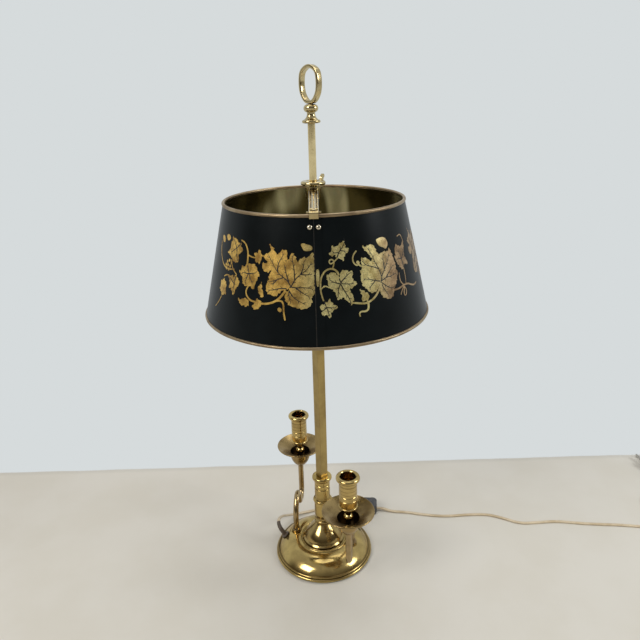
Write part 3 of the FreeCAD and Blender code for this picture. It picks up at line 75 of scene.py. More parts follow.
def sweptCurve(name, points, resolution, section, closed=False):
    # a section carried along a line that is given in millimetres
    data = bpy.data.curves.new(name, "CURVE")
    data.dimensions = "3D"
    data.twist_mode = "Z_UP"
    places = [[part * mm for part in place] for place in points]
    addNurbs(data, places, resolution, closed=closed, reachEnds=not closed)
    data.bevel_mode = "OBJECT"
    data.bevel_object = section
    data.use_fill_caps = not closed
    return newObject(name, data)


def onWholeMesh(operation, **settings):
    bpy.ops.object.mode_set(mode="EDIT")
    bpy.ops.mesh.select_all(action="SELECT")
    operation(**settings)
    bpy.ops.object.mode_set(mode="OBJECT")


def smoothBy(obj, degrees):
    selectOnly(obj)
    bpy.ops.object.shade_smooth_by_angle(angle=math.radians(degrees))


def newMaterial(name):
    mat = bpy.data.materials.new(name)
    mat.use_nodes = True
    tree = mat.node_tree
    shader = tree.nodes["Principled BSDF"]
    return mat, tree, shader


def feed(tree, socket, value):
    # a socket takes a link, a colour or a number
    if isinstance(value, bpy.types.NodeSocket):
        tree.links.new(value, socket)
    elif socket.type == "RGBA":
        socket.default_value = (*value, 1.0)
    else:
        socket.default_value = value


def wire(tree, node, values):
    for key, value in values.items():
        feed(tree, node.inputs[key], value)


def addNode(tree, kind, values=None, **settings):
    node = tree.nodes.new(kind)
    for key, value in settings.items():
        setattr(node, key, value)
    wire(tree, node, values or {})
    return node


def mathNode(tree, operation, *values, clamp=False):
    node = addNode(tree, "ShaderNodeMath", operation=operation, use_clamp=clamp)
    for socket, value in zip(node.inputs, values):
        feed(tree, socket, value)
    return node.outputs[0]


def mixColours(tree, share, first, second):
    node = addNode(tree, "ShaderNodeMix", data_type="RGBA")
    for number, value in ((0, share), (6, first), (7, second)):
        feed(tree, node.inputs[number], value)
    return node.outputs[2]


def stretch(tree, value, low, high, newLow=0.0, newHigh=1.0):
    values = {0: value, 1: low, 2: high, 3: newLow, 4: newHigh}
    return addNode(tree, "ShaderNodeMapRange", values, interpolation_type="SMOOTHSTEP").outputs[0]


def noiseOf(tree, place, scale, detail, roughness, stretchBy=None):
    if stretchBy:
        place = addNode(tree, "ShaderNodeMapping", {0: place, "Scale": stretchBy}).outputs[0]
    values = {"Vector": place, "Scale": scale, "Detail": detail, "Roughness": roughness}
    return addNode(tree, "ShaderNodeTexNoise", values).outputs[0]


def objectPlace(tree):
    return addNode(tree, "ShaderNodeTexCoord").outputs["Object"]


def axesOf(tree, place):
    return addNode(tree, "ShaderNodeSeparateXYZ", {0: place}).outputs


def bumpInto(tree, shader, height, strength, distance):
    values = {"Height": height, "Strength": strength, "Distance": distance}
    bump = addNode(tree, "ShaderNodeBump", values)
    tree.links.new(bump.outputs[0], shader.inputs["Normal"])


def dress(nodeNames, mat):
    for name in nodeNames:
        nodes[name].data.materials.clear()
        nodes[name].data.materials.append(mat)


# Shared effects as node groups


def groupWith(name, inputs):
    tree = bpy.data.node_groups.new(name, "ShaderNodeTree")
    for label, kind, value in inputs:
        socket = tree.interface.new_socket(label, in_out="INPUT", socket_type="NodeSocket" + kind)
        if value is not None:
            socket.default_value = value
    for label, kind in (("Colour", "Color"), ("Roughness", "Float"), ("Height", "Float")):
        tree.interface.new_socket(label, in_out="OUTPUT", socket_type="NodeSocket" + kind)
    return tree, tree.nodes.new("NodeGroupInput"), tree.nodes.new("NodeGroupOutput")


# specks and rubbing are wear; hollows and the dark tone paint shade into hollows
wearAndShade = dict(
    specks=0.14, hollows=0.6, grimeAndShade=0.55, paintedShadeTone=(0.05, 0.03, 0.012), dulling=0.22, rubbing=0.05,
    rubbingHeight=0.15,
)


def makeHandledMetal():
    # cloudy tarnish, painted shade that darkens the hollows and under beads, fine rubbing marks
    tree, source, sink = groupWith(
        "handledMetal",
        [
            ("Place", "Vector", None),
            ("Bright", "Color", (0.7, 0.5, 0.25, 1)),
            ("Dull", "Color", (0.3, 0.2, 0.1, 1)),
            ("Tarnish", "Float", 0.4),
            ("Polish", "Float", 0.18),
            ("Reach", "Float", 0.004),
        ],
    )
    given = source.outputs
    place = given["Place"]
    clouds = stretch(tree, noiseOf(tree, place, scale=34.0, detail=5.0, roughness=0.6), 0.36, 0.68)
    specks = stretch(tree, noiseOf(tree, place, scale=420.0, detail=3.0, roughness=0.6), 0.52, 0.74)
    rubbing = noiseOf(tree, place, scale=900.0, detail=2.0, roughness=0.5, stretchBy=(1.0, 1.0, 0.08))
    waves = noiseOf(tree, place, scale=60.0, detail=2.0, roughness=0.5)
    # ambient occlusion finds the hollows: painted shade there pushes the colour toward the dull tone and then
    # toward a dark tone
    cavity = addNode(tree, "ShaderNodeAmbientOcclusion", {"Distance": given["Reach"]}, samples=6)
    hollows = stretch(tree, cavity.outputs["AO"], 0.25, 0.85, 1.0, 0.0)
    share = mathNode(tree, "MULTIPLY", clouds, given["Tarnish"])
    share = mathNode(tree, "MULTIPLY_ADD", specks, wearAndShade["specks"], share)
    share = mathNode(tree, "MULTIPLY_ADD", hollows, wearAndShade["hollows"], share, clamp=True)
    colour = mixColours(tree, share, given["Bright"], given["Dull"])
    # painted shade: the hollows mixed toward a dark brown tone
    grimeAndShade = mathNode(tree, "MULTIPLY", hollows, wearAndShade["grimeAndShade"])
    rough = mathNode(tree, "MULTIPLY_ADD", share, wearAndShade["dulling"], given["Polish"])
    wire(tree, sink, {
        "Colour": mixColours(tree, grimeAndShade, colour, wearAndShade["paintedShadeTone"]),
        "Roughness": mathNode(tree, "MULTIPLY_ADD", rubbing, wearAndShade["rubbing"], rough),
        "Height": mathNode(tree, "MULTIPLY_ADD", rubbing, wearAndShade["rubbingHeight"], waves),
    })
    return tree


dust = dict(tone=(0.22, 0.2, 0.18), cleanRoughness=0.42, dulling=0.5)


def makeMouldedSkin():
    # fine leather-like grain of moulded plastic and rubber, with dust
    tree, source, sink = groupWith(
        "mouldedSkin",
        [("Place", "Vector", None), ("Colour", "Color", (0.03, 0.03, 0.03, 1)), ("Grain", "Float", 1800.0)],
    )
    given = source.outputs
    film = noiseOf(tree, given["Place"], scale=90.0, detail=4.0, roughness=0.6)
    film = stretch(tree, film, 0.45, 0.8, 0.0, 0.35)
    wire(tree, sink, {
        "Colour": mixColours(tree, film, given["Colour"], dust["tone"]),
        "Roughness": mathNode(tree, "MULTIPLY_ADD", film, dust["dulling"], dust["cleanRoughness"]),
        "Height": noiseOf(tree, given["Place"], scale=given["Grain"], detail=2.0, roughness=0.6),
    })
    return tree


handledMetal = makeHandledMetal()
mouldedSkin = makeMouldedSkin()
print("node groups made")


# Metals

engraving = dict(halfWidth=0.00015, fade=0.0005, depth=0.75, tone=(0.10, 0.06, 0.02))


def engravedLines(tree, place, heights):
    # thin turned lines round an upright piece, one at each height
    upward = axesOf(tree, place)[2]
    total = None
    for height in heights:
        gap = mathNode(tree, "ABSOLUTE", mathNode(tree, "SUBTRACT", upward, height * mm))
        line = stretch(tree, gap, engraving["halfWidth"], engraving["fade"], 1.0, 0.0)
        total = line if total is None else mathNode(tree, "MAXIMUM", total, line)
    return mathNode(tree, "MULTIPLY", total, engraving["depth"])


def metalMaterial(name, bright, dull, tarnish, polish, bump=0.06, lines=(), reach=0.004):
    mat, tree, shader = newMaterial(name)
    place = objectPlace(tree)
    looks = dict(Place=place, Bright=bright, Dull=dull, Tarnish=tarnish, Polish=polish, Reach=reach)
    group = addNode(tree, "ShaderNodeGroup", looks, node_tree=handledMetal)
    colour = group.outputs["Colour"]
    if lines:
        colour = mixColours(tree, engravedLines(tree, place, lines), colour, engraving["tone"])
    wire(tree, shader, {"Base Color": colour, "Roughness": group.outputs["Roughness"], "Metallic": 1.0})
    bumpInto(tree, shader, group.outputs["Height"], strength=bump, distance=0.0004)
    return mat


metals = {
    "baseBrass": dict(
        bright=(0.56, 0.41, 0.155), dull=(0.19, 0.125, 0.045), tarnish=0.5, polish=0.1, lines=(6.0, 9.0),
    ),
    "footBrass": dict(bright=(0.46, 0.33, 0.13), dull=(0.15, 0.1, 0.04), tarnish=0.5, polish=0.11),
    "armBrass": dict(bright=(0.46, 0.34, 0.17), dull=(0.15, 0.095, 0.05), tarnish=0.6, polish=0.16),
    # the bells take a longer reach, so the painted shade spreads deeper into their cups
    "bellBrass": dict(
        bright=(0.4, 0.28, 0.12), dull=(0.11, 0.07, 0.03), tarnish=0.6, polish=0.17, reach=0.03,
    ),
    "columnBrass": dict(
        bright=(0.58, 0.42, 0.15), dull=(0.2, 0.13, 0.045), tarnish=0.45, polish=0.11,
        lines=(134.2, 127.5, 120.6, 118.8, 103.0),
    ),
    "socketBrass": dict(
        bright=(0.58, 0.43, 0.17), dull=(0.2, 0.13, 0.05), tarnish=0.45, polish=0.11,
        lines=(192.6, 187.4, 186.2, 180.4, 175.0),
    ),
    "postBrass": dict(bright=(0.42, 0.31, 0.12), dull=(0.24, 0.165, 0.06), tarnish=0.5, polish=0.28),
    "rodBrass": dict(bright=(0.8, 0.64, 0.34), dull=(0.36, 0.25, 0.09), tarnish=0.4, polish=0.1),
    "knopBrass": dict(
        bright=(0.6, 0.48, 0.25), dull=(0.24, 0.17, 0.07), tarnish=0.4, polish=0.09, bump=0.03,
    ),
    "rimBrass": dict(bright=(0.36, 0.27, 0.16), dull=(0.15, 0.1, 0.06), tarnish=0.6, polish=0.32),
    "paleRivet": dict(bright=(0.74, 0.66, 0.5), dull=(0.38, 0.31, 0.2), tarnish=0.3, polish=0.2),
    "zincSteel": dict(bright=(0.62, 0.62, 0.6), dull=(0.36, 0.35, 0.33), tarnish=0.4, polish=0.32),
    "screwShell": dict(bright=(0.8, 0.79, 0.75), dull=(0.5, 0.48, 0.44), tarnish=0.3, polish=0.25),
}
metal = {name: metalMaterial(name, **look) for name, look in metals.items()}
metalPieces = {
    "baseBrass": ["base_shell"],
    "footBrass": ["column_foot"],
    "armBrass": ["left_candle_arm", "left_arm_foot", "right_candle_arm", "right_arm_foot"],
    "bellBrass": ["left_drip_bell", "right_drip_bell"],
    "columnBrass": ["column"],
    "socketBrass": ["left_candle_socket", "right_candle_socket"],
    "postBrass": ["post", "post_cap", "light_cluster"],
    "rodBrass": ["upper_rod"],
    "knopBrass": ["knop", "carrying_ring", "shade_bridge", "thumbscrew"],
    "rimBrass": ["shade_top_rim", "shade_bottom_rim"],
    "paleRivet": ["shade_rivets"],
    "zincSteel": [
        "pipe_nut", "pipe_washer", "centre_pipe", "left_arm_nut", "right_arm_nut", "switch_axle",
        "plug_blades",
    ],
    "screwShell": ["left_bulb_base", "right_bulb_base"],
}
for name, pieces in metalPieces.items():
    dress(pieces, metal[name])
print("metals done")


# Plastics, felt, iron and glass


def ribsAround(tree, place, axis, count):
    # the switch wheel has ribs round it for the thumb
    parts = axesOf(tree, place)
    across = mathNode(tree, "SUBTRACT", parts[0], axis[0])
    along = mathNode(tree, "SUBTRACT", parts[1], axis[1])
    angle = mathNode(tree, "ARCTAN2", along, across)
    return mathNode(tree, "SINE", mathNode(tree, "MULTIPLY", angle, count))


def mouldedMaterial(name, colour, grain=1800.0, bump=0.15, distance=0.0002, ribs=None):
    mat, tree, shader = newMaterial(name)
    place = objectPlace(tree)
    looks = dict(Place=place, Colour=colour, Grain=grain)
    group = addNode(tree, "ShaderNodeGroup", looks, node_tree=mouldedSkin)
    wire(tree, shader, {"Base Color": group.outputs["Colour"], "Roughness": group.outputs["Roughness"]})
    height = ribsAround(tree, place, **ribs) if ribs else group.outputs["Height"]
    bumpInto(tree, shader, height, strength=bump, distance=distance)
    return mat


blackPlastic = mouldedMaterial("blackPlastic", (0.022, 0.024, 0.03))
ivoryHolder = mouldedMaterial("ivoryHolder", (0.70, 0.64, 0.48), grain=900.0, bump=0.06)
brownRubber = mouldedMaterial("brownRubber", (0.075, 0.050, 0.030), grain=1200.0, bump=0.25)
castIron = mouldedMaterial("castIron", (0.05, 0.05, 0.052), grain=500.0, bump=0.6)
wheelLow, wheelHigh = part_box("switch_wheel")
wheelRibs = dict(axis=(wheelLow + wheelHigh) / 2, count=44.0)
ribbedWheel = mouldedMaterial(
    "ribbedWheel", (0.03, 0.032, 0.038), bump=0.9, distance=0.0004, ribs=wheelRibs,
)
dress(["switch_lower_shell", "switch_upper_shell", "plug_body"], blackPlastic)
dress(["left_lamp_holder", "right_lamp_holder"], ivoryHolder)
dress(["cord_grommet"], brownRubber)
dress(["base_weight"], castIron)
dress(["switch_wheel"], ribbedWheel)


def makeFelt():
    mat, tree, shader = newMaterial("greenFelt")
    fibres = noiseOf(tree, objectPlace(tree), scale=1500.0, detail=5.0, roughness=0.7)
    colour = mixColours(tree, fibres, (0.03, 0.10, 0.055), (0.09, 0.20, 0.12))
    wire(tree, shader, {"Base Color": colour, "Roughness": 0.95})
    bumpInto(tree, shader, fibres, strength=0.8, distance=0.0005)
    return mat


def makeFrostedGlass():
    mat, tree, shader = newMaterial("frostedGlass")
    cloud = noiseOf(tree, objectPlace(tree), scale=120.0, detail=3.0, roughness=0.5)
    wire(tree, shader, {
        "Base Color": mixColours(tree, cloud, (0.90, 0.88, 0.82), (0.97, 0.96, 0.92)),
        "Roughness": 0.35,
        "Transmission Weight": 0.35,
        "Subsurface Weight": 0.2,
        "Coat Weight": 0.3,
    })
    return mat


dress(["base_felt"], makeFelt())
dress(["left_bulb", "right_bulb"], makeFrostedGlass())
print("plastics, felt and glass done")


# Shade

shade = dict(
    bottomHeight=0.4173, topHeight=0.5626, bottomRadius=0.1494, topRadius=0.1159, wall=0.0008,
    meanRadius=0.13265,
)
shadeFall = shade["bottomRadius"] - shade["topRadius"]
shadeSlope = shadeFall / (shade["topHeight"] - shade["bottomHeight"])
lacquer = dict(
    black=(0.0022, 0.0028, 0.0028), paleBlack=(0.0050, 0.0078, 0.0088), speck=(0.04, 0.04, 0.04),
    olive=(0.030, 0.027, 0.010), gold=(0.42, 0.39, 0.22), brown=(0.12, 0.085, 0.02), brownShare=0.5,
    insideMetal=0.85, insideRoughness=0.10, outsideDulling=0.14, cloudDulling=0.14, grainHeight=0.12,
    specular=0.12,
)


def makeShadePaint():
    # satin black outside, gold lacquer inside: the sheet's middle surface parts the two
    mat, tree, shader = newMaterial("shadePaint")
    place = objectPlace(tree)
    parts = axesOf(tree, place)
    flat = addNode(tree, "ShaderNodeCombineXYZ", {0: parts[0], 1: parts[1]})
    length = addNode(tree, "ShaderNodeVectorMath", {0: flat.outputs[0]}, operation="LENGTH")
    rise = mathNode(tree, "SUBTRACT", parts[2], shade["bottomHeight"])
    fall = mathNode(tree, "MULTIPLY", rise, shadeSlope)
    sheetMiddle = mathNode(tree, "SUBTRACT", shade["bottomRadius"] - shade["wall"] / 2, fall)
    outside = mathNode(tree, "GREATER_THAN", length.outputs["Value"], sheetMiddle)
    # outside: cloudy black with fine pale specks
    clouds = noiseOf(tree, place, scale=26.0, detail=4.0, roughness=0.6)
    specks = noiseOf(tree, place, scale=700.0, detail=2.0, roughness=0.5)
    specks = stretch(tree, specks, 0.66, 0.8, 0.0, 0.25)
    black = mixColours(tree, clouds, lacquer["black"], lacquer["paleBlack"])
    black = mixColours(tree, specks, black, lacquer["speck"])
    # inside: gold lacquer, browner in streaks; its bright vertical gold bands over dark olive are partly
    # painted reflection
    bands = noiseOf(tree, place, scale=15.0, detail=1.0, roughness=0.4, stretchBy=(1.0, 1.0, 0.3))
    streaks = noiseOf(tree, place, scale=90.0, detail=3.0, roughness=0.6, stretchBy=(1.0, 1.0, 0.1))
    gold = mixColours(tree, stretch(tree, bands, 0.47, 0.56), lacquer["olive"], lacquer["gold"])
    browned = mathNode(tree, "MULTIPLY", streaks, lacquer["brownShare"])
    gold = mixColours(tree, browned, gold, lacquer["brown"])
    rough = mathNode(tree, "MULTIPLY_ADD", outside, lacquer["outsideDulling"], lacquer["insideRoughness"])
    wire(tree, shader, {
        "Base Color": mixColours(tree, outside, gold, black),
        "Metallic": mathNode(tree, "MULTIPLY_ADD", outside, -lacquer["insideMetal"], lacquer["insideMetal"]),
        "Roughness": mathNode(tree, "MULTIPLY_ADD", clouds, lacquer["cloudDulling"], rough),
        "Specular IOR Level": lacquer["specular"],
    })
    grain = noiseOf(tree, place, scale=1500.0, detail=2.0, roughness=0.5)
    waves = noiseOf(tree, place, scale=18.0, detail=2.0, roughness=0.5)
    height = mathNode(tree, "MULTIPLY_ADD", grain, lacquer["grainHeight"], waves)
    bumpInto(tree, shader, height, strength=0.25, distance=0.0006)
    return mat


dress(["shade_panel"], makeShadePaint())

gilt = dict(
    gold=(0.82, 0.53, 0.13), paleGold=(0.90, 0.79, 0.36), copper=(0.44, 0.30, 0.16),
    rubbedGold=(0.36, 0.20, 0.045), rubbedPale=(0.52, 0.40, 0.14), rubbedCopper=(0.20, 0.12, 0.06),
    grimeAndShade=(0.12, 0.08, 0.03), grimeShare=0.5, metallic=0.8, roughness=0.30, dulling=0.25,
    paleFrom=-0.035, paleTo=0.012, copperFrom=0.055, copperTo=0.092,
)


def makeGilding():
    # leaf gold laid by hand: broken, browner and duller in patches
    mat, tree, shader = newMaterial("gilding")
    place = objectPlace(tree)
    patches = stretch(tree, noiseOf(tree, place, scale=75.0, detail=5.0, roughness=0.65), 0.38, 0.66)
    grain = stretch(tree, noiseOf(tree, place, scale=650.0, detail=4.0, roughness=0.7), 0.40, 0.70)
    across = axesOf(tree, place)[0]
    pale = stretch(tree, across, gilt["paleFrom"], gilt["paleTo"])
    coppery = stretch(tree, across, gilt["copperFrom"], gilt["copperTo"])
    bright = mixColours(tree, pale, gilt["gold"], gilt["paleGold"])
    bright = mixColours(tree, coppery, bright, gilt["copper"])
    rubbed = mixColours(tree, pale, gilt["rubbedGold"], gilt["rubbedPale"])
    rubbed = mixColours(tree, coppery, rubbed, gilt["rubbedCopper"])
    colour = mixColours(tree, patches, bright, rubbed)
    grimeAndShade = mathNode(tree, "MULTIPLY", grain, gilt["grimeShare"])
    wire(tree, shader, {
        "Base Color": mixColours(tree, grimeAndShade, colour, gilt["grimeAndShade"]),
        "Metallic": gilt["metallic"],
        "Roughness": mathNode(tree, "MULTIPLY_ADD", grain, gilt["dulling"], gilt["roughness"]),
    })
    bumpInto(tree, shader, grain, strength=0.3, distance=0.0002)
    return mat


def makeVeinPaint():
    mat, tree, shader = newMaterial("veinPaint")
    rubbed = noiseOf(tree, objectPlace(tree), scale=500.0, detail=3.0, roughness=0.6)
    rubbed = stretch(tree, rubbed, 0.5, 0.75)
    colour = mixColours(tree, rubbed, (0.006, 0.006, 0.005), (0.05, 0.034, 0.014))
    wire(tree, shader, {"Base Color": colour, "Roughness": 0.45})
    return mat


gilding = makeGilding()
veinPaint = makeVeinPaint()

# The vine's outlines. Each point is millimetres round the shade from the seam, and height.
leafOutlines = {
    "broadLeft": [
        (-56, 532), (-50.5, 528), (-49, 524), (-45, 520), (-42.5, 523.5), (-37, 527), (-32.5, 524.5),
        (-33.5, 520), (-32.5, 517), (-35.5, 513.5), (-31, 515.5), (-29, 521.5), (-27, 523.5), (-23.5, 520),
        (-21.5, 516), (-20.5, 512), (-18.5, 516), (-14, 518.5), (-8, 518), (-5.5, 521.5), (-2.5, 524.5),
        (-1.2, 522), (-1.1, 502.5), (-1.8, 490.5), (-0.9, 483.5), (-1.5, 477.5), (-5, 476), (-4.5, 468.5),
        (-8, 463.5), (-14, 461.5), (-22, 463), (-30, 465.5), (-33.5, 469.5), (-35.5, 474.5), (-34, 479.5),
        (-30, 483), (-28, 486), (-32.5, 483), (-39, 481.5), (-42, 477.5), (-46, 474), (-52, 476),
        (-57, 477.5), (-58.5, 483.5), (-57.5, 488.5), (-54.5, 492.5), (-55.5, 497.5), (-53, 500),
        (-51.3, 505.5), (-54.5, 501), (-59, 500), (-63.5, 502.5), (-65.5, 508.5), (-62, 511.5), (-59, 509),
        (-57.3, 512.5), (-62, 514.5), (-64, 519), (-59, 521), (-54, 523.5), (-54, 527.5), (-57, 530.5),
    ],
    "broadRight": [
        (59.5, 527), (64.5, 524.5), (68.5, 527), (74.5, 526), (77.5, 521.5), (79.5, 515.5), (82, 514),
        (86.5, 515.5), (93.5, 515.5), (97.5, 514.5), (99.5, 519.5), (101.5, 516), (103, 512.5),
        (104.5, 508.5), (105.5, 502.5), (107.5, 497.5), (106.5, 493.5), (109.5, 487.5), (105.5, 482.5),
        (104.5, 478.5), (101.5, 474.5), (97, 470.5), (96.5, 464.5), (92.5, 461.5), (86.5, 461.5),
        (80.5, 464.5), (77.5, 468.5), (76, 473.5), (77.5, 478.5), (79.5, 484), (75.5, 478.5), (72.5, 474.5),
        (67.5, 472.5), (61.5, 474.5), (58.5, 479.5), (54.5, 481.5), (53.5, 486.5), (52.5, 490.5),
        (53.5, 495.5), (53.5, 500.5), (56.5, 502.5), (55.5, 507.5), (55.5, 513.5), (60.5, 513.5),
        (64.5, 511.5), (69, 507.5), (71.5, 509.5), (68.5, 513.5), (64.5, 519.5), (60, 522.5),
    ],
    "ragged": [
        (30.5, 503), (35.5, 502.5), (38.5, 500), (43.5, 501.5), (43.5, 496.5), (41.5, 492.5), (44.5, 489.5),
        (48.5, 486.5), (45.5, 484.5), (41.5, 482.5), (37.5, 480.5), (40, 476.5), (42, 472.5), (41.5, 467.5),
        (38.5, 463), (36.5, 466.5), (32.5, 469.5), (29.5, 473.5), (26.5, 470.5), (23.5, 470), (22.5, 474.5),
        (21.5, 479.5), (17.5, 482.5), (14.5, 485.5), (13.5, 489.5), (14, 493.5), (11.5, 495.5), (13.5, 499),
        (18.5, 501.5), (22.5, 500.5), (25.5, 497.5), (26.7, 494.5), (28.5, 498.5),
    ],
    "upperSmall": [
        (37.5, 535.5), (36.5, 530.5), (37.5, 526.5), (41.5, 526), (40, 521.5), (35.5, 519.5), (34.5, 515.5),
        (33.5, 512), (29.5, 515.5), (25.5, 516.5), (23.5, 520), (19.5, 518), (15.5, 522), (20.5, 523.5),
        (19.5, 527.5), (20.5, 530), (24.5, 528.5), (28.5, 529.5), (30.5, 533), (34.5, 533),
    ],
    "lowerSmall": [
        (15.5, 473.5), (16.5, 468.5), (18.5, 466.5), (24.5, 462.5), (20.5, 460.5), (16.5, 458.5),
        (15.5, 453.5), (14, 450), (12, 453.5), (10, 455.5), (5.5, 453.5), (6, 458.5), (4.5, 462.5),
        (3.3, 465), (6.5, 466.5), (9.3, 468), (12.5, 469.5),
    ],
    "rightBud": [
        (80, 530.5), (83.5, 531.5), (89.5, 532.5), (95.5, 531), (98.5, 526.5), (99, 523), (96.5, 519.5),
        (93.5, 518), (90.5, 520.5), (84.5, 522.5), (81.5, 526.5),
    ],
    "leftBud": [
        (-17, 532.5), (-14, 534), (-10, 532.5), (-5, 531.5), (-2.3, 529), (-3.3, 526), (-8, 525),
        (-13, 525.5), (-15, 529),
    ],
    "seamLeaf": [
        (0.9, 504.5), (2.6, 506), (4.4, 504.5), (4.5, 496.5), (3.7, 487), (1.4, 486), (0.6, 492.5),
        (0.6, 500.5),
    ],
    "knotLeaf": [
        (49.5, 479.5), (53.5, 478.5), (55.5, 475.5), (59.5, 474.5), (61.5, 470.5), (59.5, 465.5),
        (53.5, 465), (50.5, 467.5), (53, 471.5), (50.5, 475.5),
    ],
    "farRight": [
        (115.5, 521.5), (118, 517.5), (123.5, 515.5), (128.5, 517.5), (131.5, 522.5), (133.5, 517.5),
        (130.5, 510.5), (129.5, 502.5), (133.5, 497.5), (135.5, 491.5), (130.5, 493.5), (125.5, 494.5),
        (123.5, 490.5), (119.5, 488.5), (115.5, 493.5), (111.5, 497.5), (109.5, 501.5), (107.5, 506.5),
        (110.5, 507.5), (109.5, 514.5),
    ],
    "leftRagged": [
        (-84, 507.5), (-77, 508), (-72, 504.5), (-71, 500.5), (-67, 497.5), (-70, 492.5), (-73, 485.5),
        (-75, 477.5), (-79, 482.5), (-83, 481.5), (-89, 481.5), (-93.5, 485.5), (-92, 490.5), (-97, 493.5),
        (-100, 496.5), (-95, 499), (-96.5, 504.5), (-91, 502.5), (-88, 505.5),
    ],
    "leftStar": [
        (-68, 524.5), (-67, 519.5), (-64.8, 517.5), (-67.3, 512.5), (-69, 507.5), (-72, 511), (-76, 509.5),
        (-74.5, 515.5), (-79, 520.5), (-73.3, 520), (-71, 523.5),
    ],
    "leftHigh": [
        (-119, 535.5), (-115, 531.5), (-110, 532.5), (-108, 529.5), (-104, 527.5), (-100, 529.5),
        (-101, 524.5), (-95, 521.5), (-100, 517.5), (-104, 514.5), (-102, 506.5), (-107, 505),
        (-113, 505.5), (-117, 509.5), (-123, 512.5), (-128, 513.5), (-123.3, 517.5), (-121, 520.5),
        (-122, 525.5), (-119, 529.5),
    ],
    "stemLeafOne": [
        (-96, 466.5), (-92, 464.5), (-88, 468), (-83.5, 467.5), (-79.5, 465), (-80.5, 460), (-83.5, 457.5),
        (-87, 459.5), (-91, 457.5), (-93, 461), (-96.5, 462.5),
    ],
    "stemLeafTwo": [
        (-69, 470), (-65, 468.5), (-62, 465), (-64.5, 461), (-66.5, 458), (-71, 456.5), (-76, 459.5),
        (-73, 462), (-71.5, 466),
    ],
    "stemLeafThree": [
        (-64.5, 490), (-63.5, 486), (-64, 483), (-61.5, 478), (-60.5, 472), (-63.5, 471.5), (-67, 475.5),
        (-68.5, 480), (-69, 484.5), (-66, 484),
    ],
    "leftLow": [
        (-104, 494), (-102, 488), (-97, 485.5), (-98, 480), (-102, 477), (-103.5, 471), (-107, 466),
        (-109, 472), (-113, 474.5), (-118, 474.5), (-114, 478.5), (-117, 483), (-120, 488), (-114, 488),
        (-110.5, 491), (-108, 486.5),
    ],
    "leftEnd": [
        (-128, 484), (-126.5, 480), (-121, 477), (-123, 471), (-119.5, 465.5), (-125, 464.5),
        (-129.5, 460.5), (-132, 466), (-138.5, 468), (-134.5, 473), (-137.5, 478.5), (-131.5, 479.5),
    ],
    "twinBudOne": [(-149, 530), (-144, 532), (-139.5, 529), (-138, 524), (-142.5, 523), (-147, 525)],
    "twinBudTwo": [(-135, 534), (-129, 535), (-124, 532), (-126, 528), (-131, 527), (-134.5, 530)],
    "tinyBud": [(-43.5, 461.5), (-40.5, 463), (-38, 461), (-38.5, 457.5), (-42, 457.5)],
}

# Veins run from the leaf's foot outwards and thin out.
veins = {
    "broadLeft": [
        [(-28, 486), (-31, 492), (-37, 496), (-44, 501), (-51, 511), (-57, 520)],
        [(-37, 496), (-45, 493), (-54, 490)],
        [(-44, 501), (-45, 508), (-41, 516), (-37, 522)],
        [(-28, 486), (-24, 494), (-17, 500), (-8, 506), (-4, 513)],
        [(-24, 494), (-24, 503), (-26, 512), (-27, 519)],
        [(-17, 500), (-13, 507), (-13, 514)],
        [(-17, 500), (-10, 499), (-4, 500)],
        [(-28, 486), (-22, 485), (-12, 486), (-4, 484)],
        [(-22, 485), (-15, 479), (-8, 476)],
        [(-30, 482), (-27, 476), (-20, 471), (-12, 467)],
        [(-30, 482), (-31, 475), (-28, 469)],
        [(-33, 484), (-42, 484), (-49, 481), (-55, 481)],
        [(-31, 492), (-35, 503), (-36, 510)],
        [(-45, 493), (-50, 487)],
    ],
    "broadRight": [
        [(79, 482), (81, 489), (87, 496), (93, 503), (98, 512)],
        [(87, 496), (86, 504), (88, 512)],
        [(81, 489), (79, 498), (74, 506), (71, 516), (66, 523)],
        [(79, 498), (70, 502), (60, 505), (57, 510)],
        [(78, 484), (71, 486), (63, 489), (56, 490)],
        [(71, 486), (66, 481), (62, 479)],
        [(80, 484), (88, 487), (96, 486), (104, 488)],
        [(88, 487), (95, 493), (102, 498)],
        [(80, 482), (86, 477), (93, 473), (98, 473)],
        [(80, 480), (83, 472), (88, 466)],
    ],
    "ragged": [
        [(27, 494), (28, 488), (35, 487), (44, 486.5)],
        [(28, 488), (32, 479), (37, 471), (38.5, 465)],
        [(28, 488), (24, 482), (24.5, 474)],
        [(28, 488), (21, 489), (16, 493)],
        [(29, 490), (34, 495), (40, 499)],
    ],
    "upperSmall": [
        [(26, 517), (28, 522), (34, 528), (37, 534)],
        [(28, 522), (21, 522)],
        [(30, 524), (37, 523)],
    ],
    "lowerSmall": [[(8.5, 470), (11, 463), (14, 453)], [(11, 463), (20, 462)], [(11, 463), (6, 459)]],
    "farRight": [[(123, 491), (122, 502), (117, 513)], [(122, 502), (129, 509)], [(122, 502), (112, 503)]],
    "leftRagged": [
        [(-86, 505), (-84, 496), (-77, 486)],
        [(-84, 496), (-73, 498)],
        [(-84, 496), (-93, 496)],
        [(-84, 496), (-88, 486)],
    ],
    "leftHigh": [
        [(-101, 528), (-108, 521), (-120, 515)],
        [(-108, 521), (-115, 530)],
        [(-108, 521), (-106, 509)],
    ],
    "leftLow": [[(-104, 490), (-107, 481), (-107, 470)], [(-107, 481), (-115, 486)]],
}

